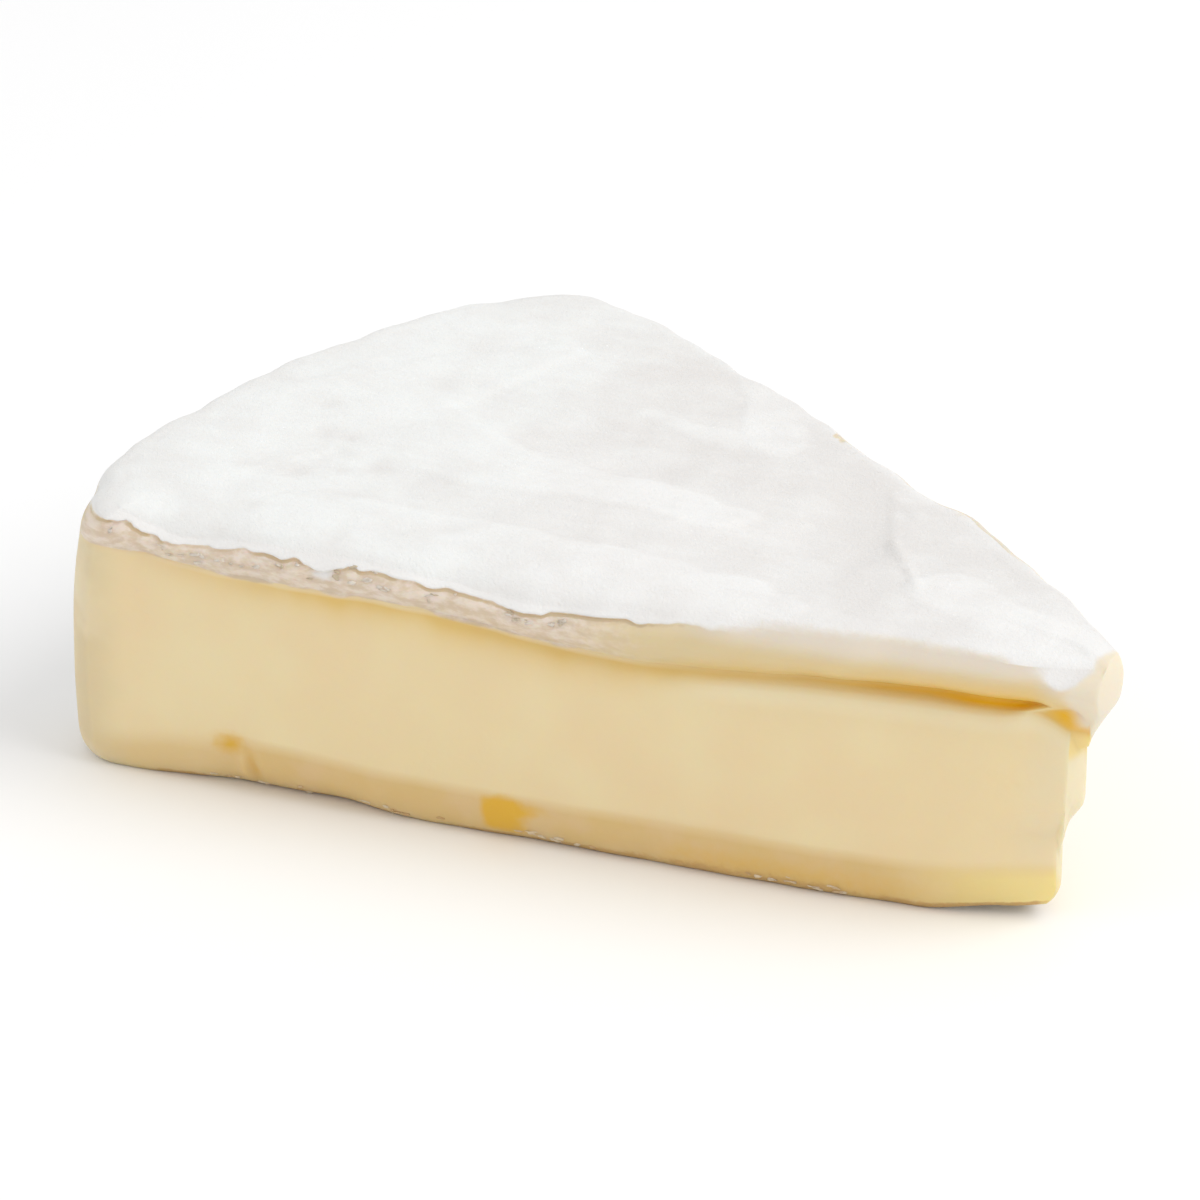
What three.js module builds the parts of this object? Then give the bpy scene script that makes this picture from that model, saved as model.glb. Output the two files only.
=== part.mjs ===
// A wedge cut from a wheel of soft-ripened cheese: a white-mould rind on a soft, creamy paste, all one piece.
//
// Units are millimetres and +Z is up. The wedge's tip points along +X, the rim of the wheel lies towards -X,
// and the front cut face looks towards -Y. The wedge is shaped about the centre of its wheel, and then moved
// so that the origin is the middle of its footprint, on the surface that it rests on.
import * as THREE from "three";

const { clamp, lerp, smoothstep, degToRad } = THREE.MathUtils;

// ---- The wheel and the cut ----
const WHEEL_RADIUS = 125.5; // to the fullest part of the rim
const THICKNESS = 34.6; // at the middle of the wedge
const HALF_ANGLE = degToRad(20); // half of the angle between the two cut faces
const BOW_POWER = 4; // a cut face is bowed like 1 - x^4, with x from -1 at the tip to 1 at the rim
const CORNER_ROUNDING = 4.5; // how far from each sharp corner at the rim its rounding begins

// ---- The tip, which is broken off across the wedge. Its places are along +X, from the wheel's centre. ----
const TIP_BLUNTNESS = 2; // how far up each cut face the broken end begins
const TIP_FLATNESS = 0.85; // how flat the end is: 0 is a full curve, 1 a straight chop
const TIP_REACH = 0.16; // the share of each face over which it is drawn to the broken end
const TIP_PASTE = [-2.4, -0.8]; // where the paste ends, below and above the bite
const TIP_RIND = [-0.5, 2.8]; // where the rind layer ends, at its foot and where it stands out most
const TIP_RIND_HEIGHTS = [23, 29.5];
const TIP_ROLL = 0.9; // how far the rind layer rolls back into the top
const TIP_ROLL_HEIGHTS = [30, 34];
const TIP_FOOT = { reach: 1.5, height: 4 }; // how far the tip draws in at its foot, and below what height
const TIP_FALL = 4; // how suddenly the rows change height from the front to the back, round the tip
const BITE_HEIGHTS = [11, 15.5]; // the wedge is narrower below the bite: where it starts, and where it is over
const BITE_REACH = 0.12; // how far along each face it is narrower
// The underside curls up towards the tip: how far, and between which distances from the wheel's centre.
const TIP_LIFTS = [
  { height: 1.1, span: [8, 17] },
  { height: 1.6, span: [-2, 8] },
];
const LIFT_HEIGHT = 8; // the lift has faded away at this height

// ---- The rim, seen in section ----
const RIM_LEAN = 0.6; // how far the top of the rim leans in over its fullest part
const CORNER_LEAN = 2.6; // how much further it leans in at the front corner
const LEAN_POWER = 4; // the lean grows like this power of the height
const RIM_TOP_ROUNDING = 3.6; // how far the rim has rolled in where it meets the top
const RIM_FOOT_ROUNDING = 2.4; // how far it has rolled in where it meets the ground
const RIM_TOP_SHARE = 0.87; // the share of the height at which the top starts to roll in
const RIM_FOOT_SHARE = 0.1; // the share of the height at which the foot's roll ends

// ---- A cut face, seen in section ----
const FOOT_RADIUS = 0.8; // the small rounding where a face meets the ground
const SHOULDER_ROLL = 0.9; // how far the paste rolls in under the rind, at most
const SHOULDER_SHARE = 0.5; // and as a share of the crease's depth
const CREASE_GAPE = [0.6, 1.3]; // how far the crease stands open, at the tip and where it is fully open
const CREASE_OPEN = [0.01, 0.09]; // it opens along this stretch
const CREASE_AT_TIP = 0.3; // the share of its depth that it keeps across the tip
const RIND_FULLNESS = 2.6; // how full the rind layer's round is
const LIP_ROLL = 2.2; // how far the rind layer rolls in towards the top

// ---- The top ----
const TOP_TILT = 0.005; // rise for each millimetre towards +Y
const RIM_RISE = 0.9; // how far the top stands up beside the rim
const RIM_RISE_SPAN = [0.6, 0.93]; // the shares of the radius between which it rises
const EDGE_REACH = 3; // how quickly the top levels out, inwards of its edge

// ---- How uneven each part is, as a share of the cheese's full unevenness ----
const PASTE_UNEVENNESS = 0.25;
const RIND_UNEVENNESS = 0.8;
const TOP_UNEVENNESS = 0.25;
const UNEVENNESS_CHANGE = [25, 30]; // the heights between which the paste's share turns into the rind's

// ---- How finely the outline and the section are divided ----
const FACE_STEPS = 44;
const FACE_CROWDING = 1.15; // above 1, a face's steps are closer together at the tip
const RIM_STEPS = 26;
const CORNER_STEPS = 4;
const TIP_STEPS = 6;
const ZONE_STEPS = { bevel: 4, paste: 8, crease: 3, rind: 6 };
const ZONE_ON_RIM = { bevel: [0, 0.17], paste: [0.17, 0.76], crease: [0.76, 0.8], rind: [0.8, 1] };
const TOP_RINGS = [0.05, 0.13, 0.24, 0.37, 0.51, 0.66, 0.82]; // shares of the way in from edge to spine
const UNDERSIDE_RINGS = [0.12, 0.4, 0.72];
const SPINE_SPAN = [0.12, 0.84]; // the shares of the radius between which the spine runs

// ---- What a line along a cut face is built up from. t is 0 at the tip and 1 at the rim. ----
const hump = (x, centre, width) => Math.exp(-(((x - centre) / width) ** 2));
const nearTip = (t, reach) => 1 - smoothstep(t, 0, reach);
const swell = (height, centre, width) => (t) => height * hump(t, centre, width);
const towardsTip = (height, reach) => (t) => height * nearTip(t, reach);
const towardsRim = (height, from, to) => (t) => height * smoothstep(t, from, to);
const line = (level, ...parts) => (t) => parts.reduce((sum, part) => sum + part(t), level);

// Each face has three lines that run along it, given by their heights: the bevel's top, the crease under the
// rind layer, and the top edge. The other lines are how far the foot, the paste and the rind's lip stand out
// from a flat cut through the wheel's centre, and how deep the crease is. At the tip, tipFullness is how full
// the rind layer's round is, and bite how much narrower the wedge is below the bite.
const frontFace = {
  side: -1,
  bow: 2,
  belly: 0.5,
  topEdge: line(33, swell(-1.7, 0.52, 0.12), swell(-0.9, 0.86, 0.05), towardsRim(1.7, 0.88, 1)),
  crease: line(
    27.2,
    swell(-1.5, 0.41, 0.14),
    swell(0.45, 0.05, 0.018),
    towardsRim(1, 0.45, 0.7),
    towardsRim(0.7, 0.82, 0.92),
    towardsTip(-1.6, 0.045),
  ),
  bevelTop: line(6.4, swell(1.2, 0.79, 0.1), towardsRim(-1.6, 0.88, 0.97), towardsTip(0.9, 0.2)),
  foot: line(
    0.8,
    towardsRim(0.4, 0.87, 0.95),
    swell(-2, 0.81, 0.07),
    swell(-1.8, 0.715, 0.055),
    swell(-0.5, 0.51, 0.07),
  ),
  paste: line(2.1, towardsTip(-1.05, 0.1)),
  lip: line(4.2, towardsRim(-1.4, 0.32, 0.62), towardsTip(-1.6, 0.08)),
  creaseDepth: line(2.05, towardsRim(-1.3, 0.12, 0.4), towardsRim(-0.5, 0.45, 0.7)),
  tipFullness: 2.6,
  bite: 1.5,
};
const backSwells = (share, width) => [swell(0.7 * share, 0.27, width), swell(0.5 * share, 0.6, 1.4 * width)];
const backFace = {
  side: 1,
  bow: 5.5,
  belly: 0.7,
  topEdge: line(35, swell(-0.6, 0.36, 0.05), towardsRim(-0.5, 0.85, 1), towardsTip(-1.2, 0.1)),
  crease: line(28.2, swell(-1.4, 0.6, 0.16), towardsTip(-6, 0.18)),
  bevelTop: line(4.6, swell(0.9, 0.35, 0.08), towardsTip(-0.8, 0.1)),
  foot: line(0.9, towardsRim(0.9, 0.84, 0.94), swell(-0.9, 0.55, 0.1)),
  paste: line(2, ...backSwells(1, 0.07), towardsTip(-1.05, 0.1)),
  lip: line(4, ...backSwells(1.2, 0.05), towardsTip(1.3, 0.08)),
  creaseDepth: line(1.1, towardsRim(-0.7, 0.3, 0.7)),
  tipFullness: 0.8,
  bite: 2.25,
};

// The broad folds and hollows of the top. Each lies at a radius from the wheel's centre and an angle from the
// wedge's middle, and turn is the angle of its long axis. Angles are in degrees.
const TOP_FOLDS = [
  { radius: 62, angle: -4, turn: 6, halfLength: 26, halfWidth: 5, height: 0.5 },
  { radius: 78, angle: 5, turn: -3, halfLength: 22, halfWidth: 4, height: -0.45 },
  { radius: 40, angle: 3, turn: 20, halfLength: 6, halfWidth: 9, height: -0.6 },
  { radius: 31, angle: -1, turn: 15, halfLength: 3, halfWidth: 8, height: 0.45 },
  { radius: 103, angle: -9, turn: 40, halfLength: 12, halfWidth: 7, height: -0.35 },
  { radius: 98, angle: 12, turn: -30, halfLength: 14, halfWidth: 6, height: 0.4 },
];

// The cheese's unevenness is a sum of waves. Each has a height in millimetres, and turns by so many radians
// for each millimetre along and up the surface.
const WAVES = [
  { height: 0.28, along: 0.21, up: 0, start: 1.3 },
  { height: 0.2, along: 0.47, up: -0.16, start: 0.4 },
  { height: 0.14, along: 0.83, up: 0.37, start: 0 },
];
const WAVE_START = { front: 0, rim: 90, back: 230 }; // so that no two sides are alike

function unevenness(along, up) {
  return WAVES.reduce((sum, w) => sum + w.height * Math.sin(along * w.along + up * w.up + w.start), 0);
}

const across = Math.sin(HALF_ANGLE);
const inwards = Math.cos(HALF_ANGLE);

/** A point of a cut face in plan, at t along it. It stands out by reach, and is drawn to the tip's broken end. */
function onFace(face, t, reach, tipEnd) {
  const out = reach + face.bow * (1 - Math.abs(2 * t - 1) ** BOW_POWER);
  const drawn = (out * across - tipEnd) / inwards - TIP_BLUNTNESS;
  const tipT = TIP_BLUNTNESS / WHEEL_RADIUS;
  const r = WHEEL_RADIUS * t + drawn * (1 - smoothstep(t, tipT, tipT + TIP_REACH));
  return new THREE.Vector2(-r * inwards + out * across, face.side * (r * across + out * inwards));
}

/** A point of the rim in plan, at an angle from the wedge's middle. */
function onRim(angle, reach) {
  const r = WHEEL_RADIUS + reach;
  return new THREE.Vector2(-r * Math.cos(angle), r * Math.sin(angle));
}

/** Where the tip is broken off, at a height and k of the way up a zone. */
function tipEnd(zone, z, k) {
  const foot = TIP_FOOT.reach * Math.max(0, 1 - z / TIP_FOOT.height) ** 2;
  const paste = lerp(...TIP_PASTE, smoothstep(z, ...BITE_HEIGHTS)) - foot;
  const rind = lerp(...TIP_RIND, smoothstep(z, ...TIP_RIND_HEIGHTS));
  if (zone === "rind") {
    const [low, high] = TIP_ROLL_HEIGHTS;
    return rind - TIP_ROLL * clamp((z - low) / (high - low), 0, 1) ** 3;
  }
  return zone === "crease" ? lerp(paste, rind, k) : paste;
}

/** The section through a cut face, k of the way up one of its zones: its height and its reach. */
function faceSection(face, t, zone, k) {
  const paste = face.paste(t);
  const bevelTop = face.bevelTop(t);
  const opening = smoothstep(t, ...CREASE_OPEN);
  const gape = lerp(...CREASE_GAPE, opening);
  const shoulder = face.crease(t) - gape / 2;
  const depth = face.creaseDepth(t) * lerp(CREASE_AT_TIP, 1, opening);
  const rolledIn = Math.min(SHOULDER_ROLL, SHOULDER_SHARE * depth);
  const hollow = paste - depth;
  const quarterTurn = Math.sin((k * Math.PI) / 2);
  const bite = (z) => -face.bite * nearTip(t, BITE_REACH) * (1 - smoothstep(z, ...BITE_HEIGHTS));
  if (zone === "bevel") {
    const z = bevelTop * k ** 1.3;
    return { z, reach: lerp(face.foot(t) - FOOT_RADIUS, paste, quarterTurn) + bite(z) };
  }
  if (zone === "paste") {
    const z = lerp(bevelTop, shoulder, k);
    const bulge = face.belly * opening * Math.sin(k * Math.PI);
    return { z, reach: paste + bulge - rolledIn * k ** 12 + bite(z) };
  }
  if (zone === "crease") {
    return { z: shoulder + gape * k, reach: lerp(paste - rolledIn, hollow, quarterTurn) };
  }
  const fullness = lerp(face.tipFullness, RIND_FULLNESS, opening);
  const reach = lerp(hollow, face.lip(t), 1 - (1 - k) ** fullness) - LIP_ROLL * k ** 5;
  return { z: lerp(shoulder + gape, face.topEdge(t), k), reach };
}

/** A point with the underside curled up towards the tip. */
function curled(point) {
  const lift = TIP_LIFTS.reduce((sum, { height, span }) => sum + height * (1 - smoothstep(-point.x, ...span)), 0);
  return point.setZ(point.z + lift * clamp(1 - point.z / LIFT_HEIGHT, 0, 1));
}

/** The height of the rim, which meets the top edge of a cut face at each corner. */
function rimTop(angle) {
  const free = THICKNESS + TOP_TILT * onRim(angle, 0).y + RIM_RISE;
  const face = angle < 0 ? frontFace : backFace;
  return lerp(free, face.topEdge(1), smoothstep(Math.abs(angle) / HALF_ANGLE, 0.55, 1));
}

/** How far the rim has rolled in, at an angle from the wedge's middle and a share of its height. */
function rimRoll(angle, share) {
  const quarterRound = (x) => 1 - Math.sqrt(1 - x * x);
  const foot = quarterRound(Math.max(0, 1 - share / RIM_FOOT_SHARE));
  const top = quarterRound(Math.max(0, (share - RIM_TOP_SHARE) / (1 - RIM_TOP_SHARE)));
  const lean = RIM_LEAN + CORNER_LEAN * smoothstep(-angle / HALF_ANGLE, 0.7, 1);
  return lean * share ** LEAN_POWER + RIM_FOOT_ROUNDING * foot + RIM_TOP_ROUNDING * top;
}

function facePoint(face, t, zone, k) {
  const { z, reach } = faceSection(face, t, zone, k);
  const start = face === frontFace ? WAVE_START.front : WAVE_START.back;
  const share = lerp(PASTE_UNEVENNESS, RIND_UNEVENNESS, smoothstep(z, ...UNEVENNESS_CHANGE));
  const wave = share * unevenness(WHEEL_RADIUS * t + start, z) * smoothstep(t, 0, 0.15);
  // The last stretch of the face follows the rim's own section, so that the two meet at the corner.
  const corner = face.side * HALF_ANGLE;
  const roll = rimRoll(corner, Math.min(1, z / rimTop(corner))) * smoothstep(t, 0.85, 1);
  const p = onFace(face, t - roll / WHEEL_RADIUS, reach + wave, tipEnd(zone, z, k));
  return new THREE.Vector3(p.x, p.y, z);
}

function rimPoint(angle, zone, k) {
  const share = lerp(...ZONE_ON_RIM[zone], k);
  const z = rimTop(angle) * share;
  const p = onRim(angle, unevenness(WHEEL_RADIUS * angle + WAVE_START.rim, z) - rimRoll(angle, share));
  return new THREE.Vector3(p.x, p.y, z);
}

/** A rounded corner between two points of the outline: a curve drawn towards the sharp corner. */
function rounded(from, sharp, to, k) {
  return new THREE.QuadraticBezierCurve3(from, sharp, to).getPoint(k);
}

function cornerPoint(face, zone, k, turn) {
  const from = facePoint(face, faceT(1), zone, k);
  const to = rimPoint(face.side * RIM_LIMIT, zone, k);
  const sharp = facePoint(face, 1, zone, k).lerp(rimPoint(face.side * HALF_ANGLE, zone, k), 0.5);
  return rounded(from, sharp, to, turn);
}

function tipPoint(zone, k, turn) {
  const from = facePoint(frontFace, faceT(0), zone, k);
  const to = facePoint(backFace, faceT(0), zone, k);
  const sharp = from.clone().lerp(to, 0.5);
  sharp.x += ((1 - TIP_FLATNESS) * (to.y - from.y)) / 2;
  return rounded(from, sharp, to, turn).setZ(lerp(from.z, to.z, 1 - (1 - turn) ** TIP_FALL));
}

/** The height of the top, away from its edges. */
function topHeight(x, y) {
  const rise = RIM_RISE * smoothstep(Math.hypot(x, y) / WHEEL_RADIUS, ...RIM_RISE_SPAN);
  const folds = TOP_FOLDS.reduce((sum, fold) => {
    const centre = onRim(degToRad(fold.angle), fold.radius - WHEEL_RADIUS);
    const p = new THREE.Vector2(x, y).rotateAround(centre, -degToRad(fold.turn)).sub(centre);
    return sum + fold.height * hump(p.x, 0, fold.halfLength) * hump(p.y, 0, fold.halfWidth);
  }, 0);
  return THICKNESS + TOP_TILT * y + rise + folds + TOP_UNEVENNESS * unevenness(x, y);
}

// ---- The outline: stations that run round the wedge anticlockwise, seen from above ----
const RIM_LIMIT = HALF_ANGLE - CORNER_ROUNDING / WHEEL_RADIUS;
const steps = (count) => Array.from({ length: count + 1 }, (_, i) => i / count);
const back = (list) => [...list].reverse();

function faceT(k) {
  return lerp(TIP_BLUNTNESS / WHEEL_RADIUS, 1 - CORNER_ROUNDING / WHEEL_RADIUS, k ** FACE_CROWDING);
}

/** Each station is a function that gives its point in a zone of the wall, with the place on the spine that
 *  its rings close on. Both cut faces share the spine, which runs from the tip (0) to the rim (1). */
function outline() {
  const within = (count) => steps(count).slice(1, -1);
  const station = (spine, point) => ({ spine, point });
  return [
    ...within(TIP_STEPS).map((k) => station(0, (zone, v) => tipPoint(zone, v, k))),
    ...steps(FACE_STEPS).map((k) => station(k, (zone, v) => facePoint(backFace, faceT(k), zone, v))),
    ...within(CORNER_STEPS).map((k) => station(1, (zone, v) => cornerPoint(backFace, zone, v, k))),
    ...steps(RIM_STEPS).map((k) => station(1, (zone, v) => rimPoint(RIM_LIMIT * (1 - 2 * k), zone, v))),
    ...back(within(CORNER_STEPS)).map((k) => station(1, (zone, v) => cornerPoint(frontFace, zone, v, k))),
    ...back(steps(FACE_STEPS)).map((k) => station(k, (zone, v) => facePoint(frontFace, faceT(k), zone, v))),
  ];
}

/** The rows of the wall from the foot to the top edge, each a zone and how far up it. */
function wallRows() {
  const rows = Object.entries(ZONE_STEPS).flatMap(([zone, count]) =>
    steps(count)
      .slice(0, -1)
      .map((k) => [zone, k]),
  );
  return [...rows, ["rind", 1]];
}

// ---- The two caps, from the outline in to the spine ----
const spineX = (k) => -WHEEL_RADIUS * inwards * lerp(...SPINE_SPAN, k);

function undersidePoint(station, share) {
  const foot = station.point("bevel", 0);
  return new THREE.Vector3(lerp(foot.x, spineX(station.spine), share), lerp(foot.y, 0, share), 0);
}

/** A point of the top, a share of the way in. It levels out from the edge's own height to the top's. */
function topPoint(station, share) {
  const edge = station.point("rind", 1);
  const x = lerp(edge.x, spineX(station.spine), share);
  const y = lerp(edge.y, 0, share);
  const level = topHeight(x, y);
  const fromEdge = Math.hypot(x - edge.x, y - edge.y);
  return new THREE.Vector3(x, y, level + (edge.z - level) * Math.exp(-fromEdge / EDGE_REACH));
}

/** All the rings of vertices, from the spine of the underside round to the spine of the top. */
function wedgeRings(stations) {
  const rings = [
    stations.map((s) => undersidePoint(s, 1)),
    ...back(UNDERSIDE_RINGS).map((share) => stations.map((s) => undersidePoint(s, share))),
    ...wallRows().map(([zone, k]) => stations.map((s) => s.point(zone, k))),
    ...TOP_RINGS.map((share) => stations.map((s) => topPoint(s, share))),
    stations.map((s) => topPoint(s, 1)),
  ];
  return rings.map((ring) => ring.map(curled));
}

/** A closed surface through the rings. On a spine, stations that share a place share one vertex. */
function closedSurface(stations, rings) {
  const vertices = [];
  const rows = rings.map((ring, j) => {
    const onSpine = j === 0 || j === rings.length - 1;
    const made = new Map();
    return ring.map((point, i) => {
      const key = onSpine ? stations[i].spine : i;
      if (!made.has(key)) {
        made.set(key, vertices.push(point) - 1);
      }
      return made.get(key);
    });
  });
  const triangles = rows.slice(1).flatMap((high, j) =>
    stations.flatMap((_, i) => {
      const low = rows[j];
      const next = (i + 1) % stations.length;
      return [
        [low[i], low[next], high[next]],
        [low[i], high[next], high[i]],
      ];
    }),
  );
  const whole = triangles.filter(([a, b, c]) => a !== b && b !== c && c !== a);
  return new THREE.BufferGeometry().setFromPoints(vertices).setIndex(whole.flat());
}

function wedgeGeometry() {
  const stations = outline();
  const geometry = closedSurface(stations, wedgeRings(stations));
  geometry.computeBoundingBox();
  const { min, max } = geometry.boundingBox;
  geometry.translate(-(min.x + max.x) / 2, -(min.y + max.y) / 2, -min.z);
  geometry.computeVertexNormals();
  return geometry;
}

const cheese = new THREE.MeshStandardMaterial({ color: 0xe6d6b4, roughness: 0.62, metalness: 0 });
const wedge = new THREE.Mesh(wedgeGeometry(), cheese);
wedge.name = "cheese_wedge";

export default new THREE.Group().add(wedge);
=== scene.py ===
"""A wedge of soft-ripened, white-mould cheese, finished for rendering in the frame of its solid model.

The wedge is shaped in millimetres about the centre of the wheel that it was cut from, with its tip at the
centre and the rim towards -X. What Blender holds is in metres, in the frame.
"""
import math
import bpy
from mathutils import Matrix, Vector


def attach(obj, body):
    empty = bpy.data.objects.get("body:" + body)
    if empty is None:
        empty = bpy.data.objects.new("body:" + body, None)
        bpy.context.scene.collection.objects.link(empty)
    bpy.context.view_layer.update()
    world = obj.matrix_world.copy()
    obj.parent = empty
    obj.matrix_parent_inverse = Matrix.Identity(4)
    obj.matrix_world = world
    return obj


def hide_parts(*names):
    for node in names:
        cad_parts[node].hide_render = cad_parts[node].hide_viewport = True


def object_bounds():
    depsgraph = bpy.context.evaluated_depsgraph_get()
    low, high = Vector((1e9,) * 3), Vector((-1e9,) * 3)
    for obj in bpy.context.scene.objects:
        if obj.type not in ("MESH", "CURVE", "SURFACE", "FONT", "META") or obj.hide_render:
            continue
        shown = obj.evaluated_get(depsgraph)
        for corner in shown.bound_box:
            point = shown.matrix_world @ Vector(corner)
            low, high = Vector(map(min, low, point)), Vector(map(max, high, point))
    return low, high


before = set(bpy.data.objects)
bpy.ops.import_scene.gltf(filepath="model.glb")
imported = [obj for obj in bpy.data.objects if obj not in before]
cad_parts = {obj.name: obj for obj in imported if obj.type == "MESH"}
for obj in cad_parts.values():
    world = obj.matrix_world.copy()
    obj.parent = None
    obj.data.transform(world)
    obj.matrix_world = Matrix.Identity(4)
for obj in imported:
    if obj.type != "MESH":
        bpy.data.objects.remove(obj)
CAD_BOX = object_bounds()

from types import SimpleNamespace

import bpy
import numpy as np
from mathutils import Vector, kdtree
from mathutils.geometry import delaunay_2d_cdt

bl_info = {
    "name": "Wedge of soft-ripened cheese",
    "version": (1, 0, 0),
    "blender": (4, 5, 0),
    "location": "View3D > Sidebar > Cheese",
    "description": "Makes a wedge of white-mould cheese with its rind, paste and stage",
    "category": "Add Mesh",
}

NODE = "cheese_wedge"
BODY = "root"
WEDGE = "wedge_of_cheese"
MM = 0.001

# ---- The wheel and the cut, in millimetres ----
WHEEL_CENTRE = (61.519, -0.867, 0.0)  # in the frame
WHEEL_RADIUS = 125.5
THICKNESS = 34.6
HALF_ANGLE = math.radians(20)
BOW_POWER = 4
CORNER_ROUNDING = 4.5
TIP_BLUNTNESS = 2
TIP_FLATNESS = 0.85
TIP_REACH = 0.16  # how far along a face, as a share of the radius, the tip's own shape reaches
# Where the broken tip lies, on the wedge's middle line: below the bite, above it, and on the rind.
TIP_LOW = -2.4
TIP_PASTE = -0.8
TIP_BITE_HEIGHTS = (11, 15.5)
TIP_RIND = (-0.5, 2.8)
TIP_RIND_HEIGHTS = (23, 29.5)
TIP_ROLL = 0.9  # how far the rind rolls back at the top of the tip, and between which heights
TIP_ROLL_HEIGHTS = (30, 34)
TIP_FOOT = (1.5, 4)  # how far the tip draws in at its foot, and below what height
TIP_BITE_REACH = 0.12  # how far along a face the wedge is narrower below the bite
# The underside curls up towards the tip: how far, and between which distances from the wheel's centre.
TIP_LIFTS = [(1.1, 8, 17), (1.6, -2, 8)]
LIFT_HEIGHT = 8  # the lift has faded away at this height

# ---- The rim in section ----
RIM_LEAN = 0.6
CORNER_LEAN = 2.6
LEAN_POWER = 4
RIM_TOP_ROUNDING = 3.6
RIM_FOOT_ROUNDING = 2.4
RIM_TOP_SHARE = 0.87
RIM_FOOT_SHARE = 0.1

# ---- A cut face in section ----
FOOT_RADIUS = 0.8
BEVEL_CROWDING = 1.3  # how much closer together the bevel's rows are near the foot
SHOULDER_ROLL = 0.9  # how far the paste rolls in under the crease, at most
SHOULDER_SHARE = 0.5  # and as a share of the crease's depth
SHOULDER_SHARPNESS = 12
CREASE_GAPE = (0.6, 1.3)  # at the tip, and where the crease is fully open
CREASE_OPEN = (0.01, 0.09)
CREASE_AT_TIP = 0.3  # the share of its depth that the crease keeps across the tip
RIND_FULLNESS = 2.6
TIP_FALL = 4  # how suddenly the rows change height from the front to the back, round the tip
LIP_ROLL = 2.2  # how far the lip rolls in towards the top edge, and how suddenly
LIP_SHARPNESS = 5
EDGE_DROP = 0.5  # how far the white crust hangs below the top edge
EDGE_HALF = 0.3  # half of the height over which the crust ends
EDGE_LEAST = 0.45  # the crust hangs down at least this far
RECESS_FADE = 1.4  # how quickly the face below the crust comes out again

# ---- The top ----
TOP_TILT = 0.005
RIM_RISE = 0.9
RIM_RISE_SPAN = (0.6, 0.93)
RIM_LEVEL_SPAN = (0.55, 1)  # where the rim's top comes to the corners' height, as shares of the half angle
EDGE_REACH = 3
RELIEF_REACH = 1.5  # how far from the edge the top's relief begins

# ---- The cheese's own unevenness ----
PASTE_UNEVENNESS = 0.25
RIND_UNEVENNESS = 0.8
TOP_UNEVENNESS = 0.25
UNEVENNESS_CHANGE = (25, 30)
WAVES = [(0.28, 0.21, 0, 1.3), (0.2, 0.47, -0.16, 0.4), (0.14, 0.83, 0.37, 0)]  # height, along, up, start
RIM_WAVES = 90  # where the waves start on the rim

# ---- How finely the surface is divided ----
FRONT_STEPS = 340
BACK_STEPS = 230
RIM_STEPS = 150
CORNER_STEPS = 12
TIP_STEPS = 20
ZONE_STEPS = {"bevel": 8, "paste": 30, "crease": 6, "band": 20, "edge": 6, "crust": 5}
RIM_SHARES = (0, 0.17, 0.76, 0.8, 0.965, 0.985, 1)  # where the zones end on the rim
ZONE_ON_RIM = dict(zip(ZONE_STEPS, zip(RIM_SHARES, RIM_SHARES[1:])))
INSETS = (0.25, 0.55, 0.9, 1.35, 1.9)
SPINE_SPAN = (0.12, 0.84)
TOP_SPACING = 0.56
UNDERSIDE_SPACING = 1.7
LEAST_GAP = 0.6  # the least gap between a cap's edge and its inner points, as a share of their spacing


# ---- Lines along a cut face. t is 0 at the tip and 1 at the rim. ----
def smoothstep(x, low, high):
    x = np.clip((np.asarray(x, float) - low) / (high - low), 0, 1)
    return x * x * (3 - 2 * x)


def lerp(a, b, k):
    return a + (b - a) * k


def hump(x, centre, width):
    return np.exp(-(((x - centre) / width) ** 2))


def near_tip(t, reach):
    return 1 - smoothstep(t, 0, reach)


def swell(height, centre, width):
    return lambda t: height * hump(t, centre, width)


def towards_tip(height, reach):
    return lambda t: height * near_tip(t, reach)


def towards_rim(height, low, high):
    return lambda t: height * smoothstep(t, low, high)


def line(level, *parts):
    return lambda t: level + sum(part(t) for part in parts)


def back_swells(share, width):
    return swell(0.7 * share, 0.27, width), swell(0.5 * share, 0.6, 1.4 * width)


FRONT = SimpleNamespace(
    side=-1,
    waves=0,  # where the waves start on this face
    bow=2,
    belly=0.5,
    top_edge=line(33, swell(-1.7, 0.52, 0.12), swell(-0.9, 0.86, 0.05), towards_rim(1.7, 0.88, 1)),
    crease=line(
        27.2,
        swell(-1.5, 0.41, 0.14),
        swell(0.45, 0.05, 0.018),
        towards_rim(1, 0.45, 0.7),
        towards_rim(0.7, 0.82, 0.92),
        towards_tip(-2.1, 0.043),
    ),
    bevel_top=line(6.4, swell(1.2, 0.79, 0.1), towards_rim(-1.6, 0.88, 0.97), towards_tip(0.9, 0.2)),
    foot=line(
        0.8,
        towards_rim(0.4, 0.87, 0.95),
        swell(-2, 0.81, 0.07),
        swell(-1.8, 0.715, 0.055),
        swell(-0.5, 0.51, 0.07),
    ),
    paste=line(2.1, towards_tip(-1.05, 0.1)),
    lip=line(4.2, towards_rim(-1.4, 0.32, 0.62), towards_tip(-1.6, 0.08)),
    crease_depth=line(2.05, towards_rim(-1.3, 0.12, 0.4), towards_rim(-0.5, 0.45, 0.7)),
    tip_fullness=2.6,
    tip_bite=1.5,  # how much narrower the wedge is below the bite
    bridge=(0.05, 0.011),  # where the paste touches the rind across the crease: t and half length
    torn=(0.3, 0.44),  # beyond this the crust's edge is torn, and before it the crust rolls over the edge
    worn=(0.045, 0.08, 0.24, 0.36),  # where the crust fades out on the top before it reaches the edge
)
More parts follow.
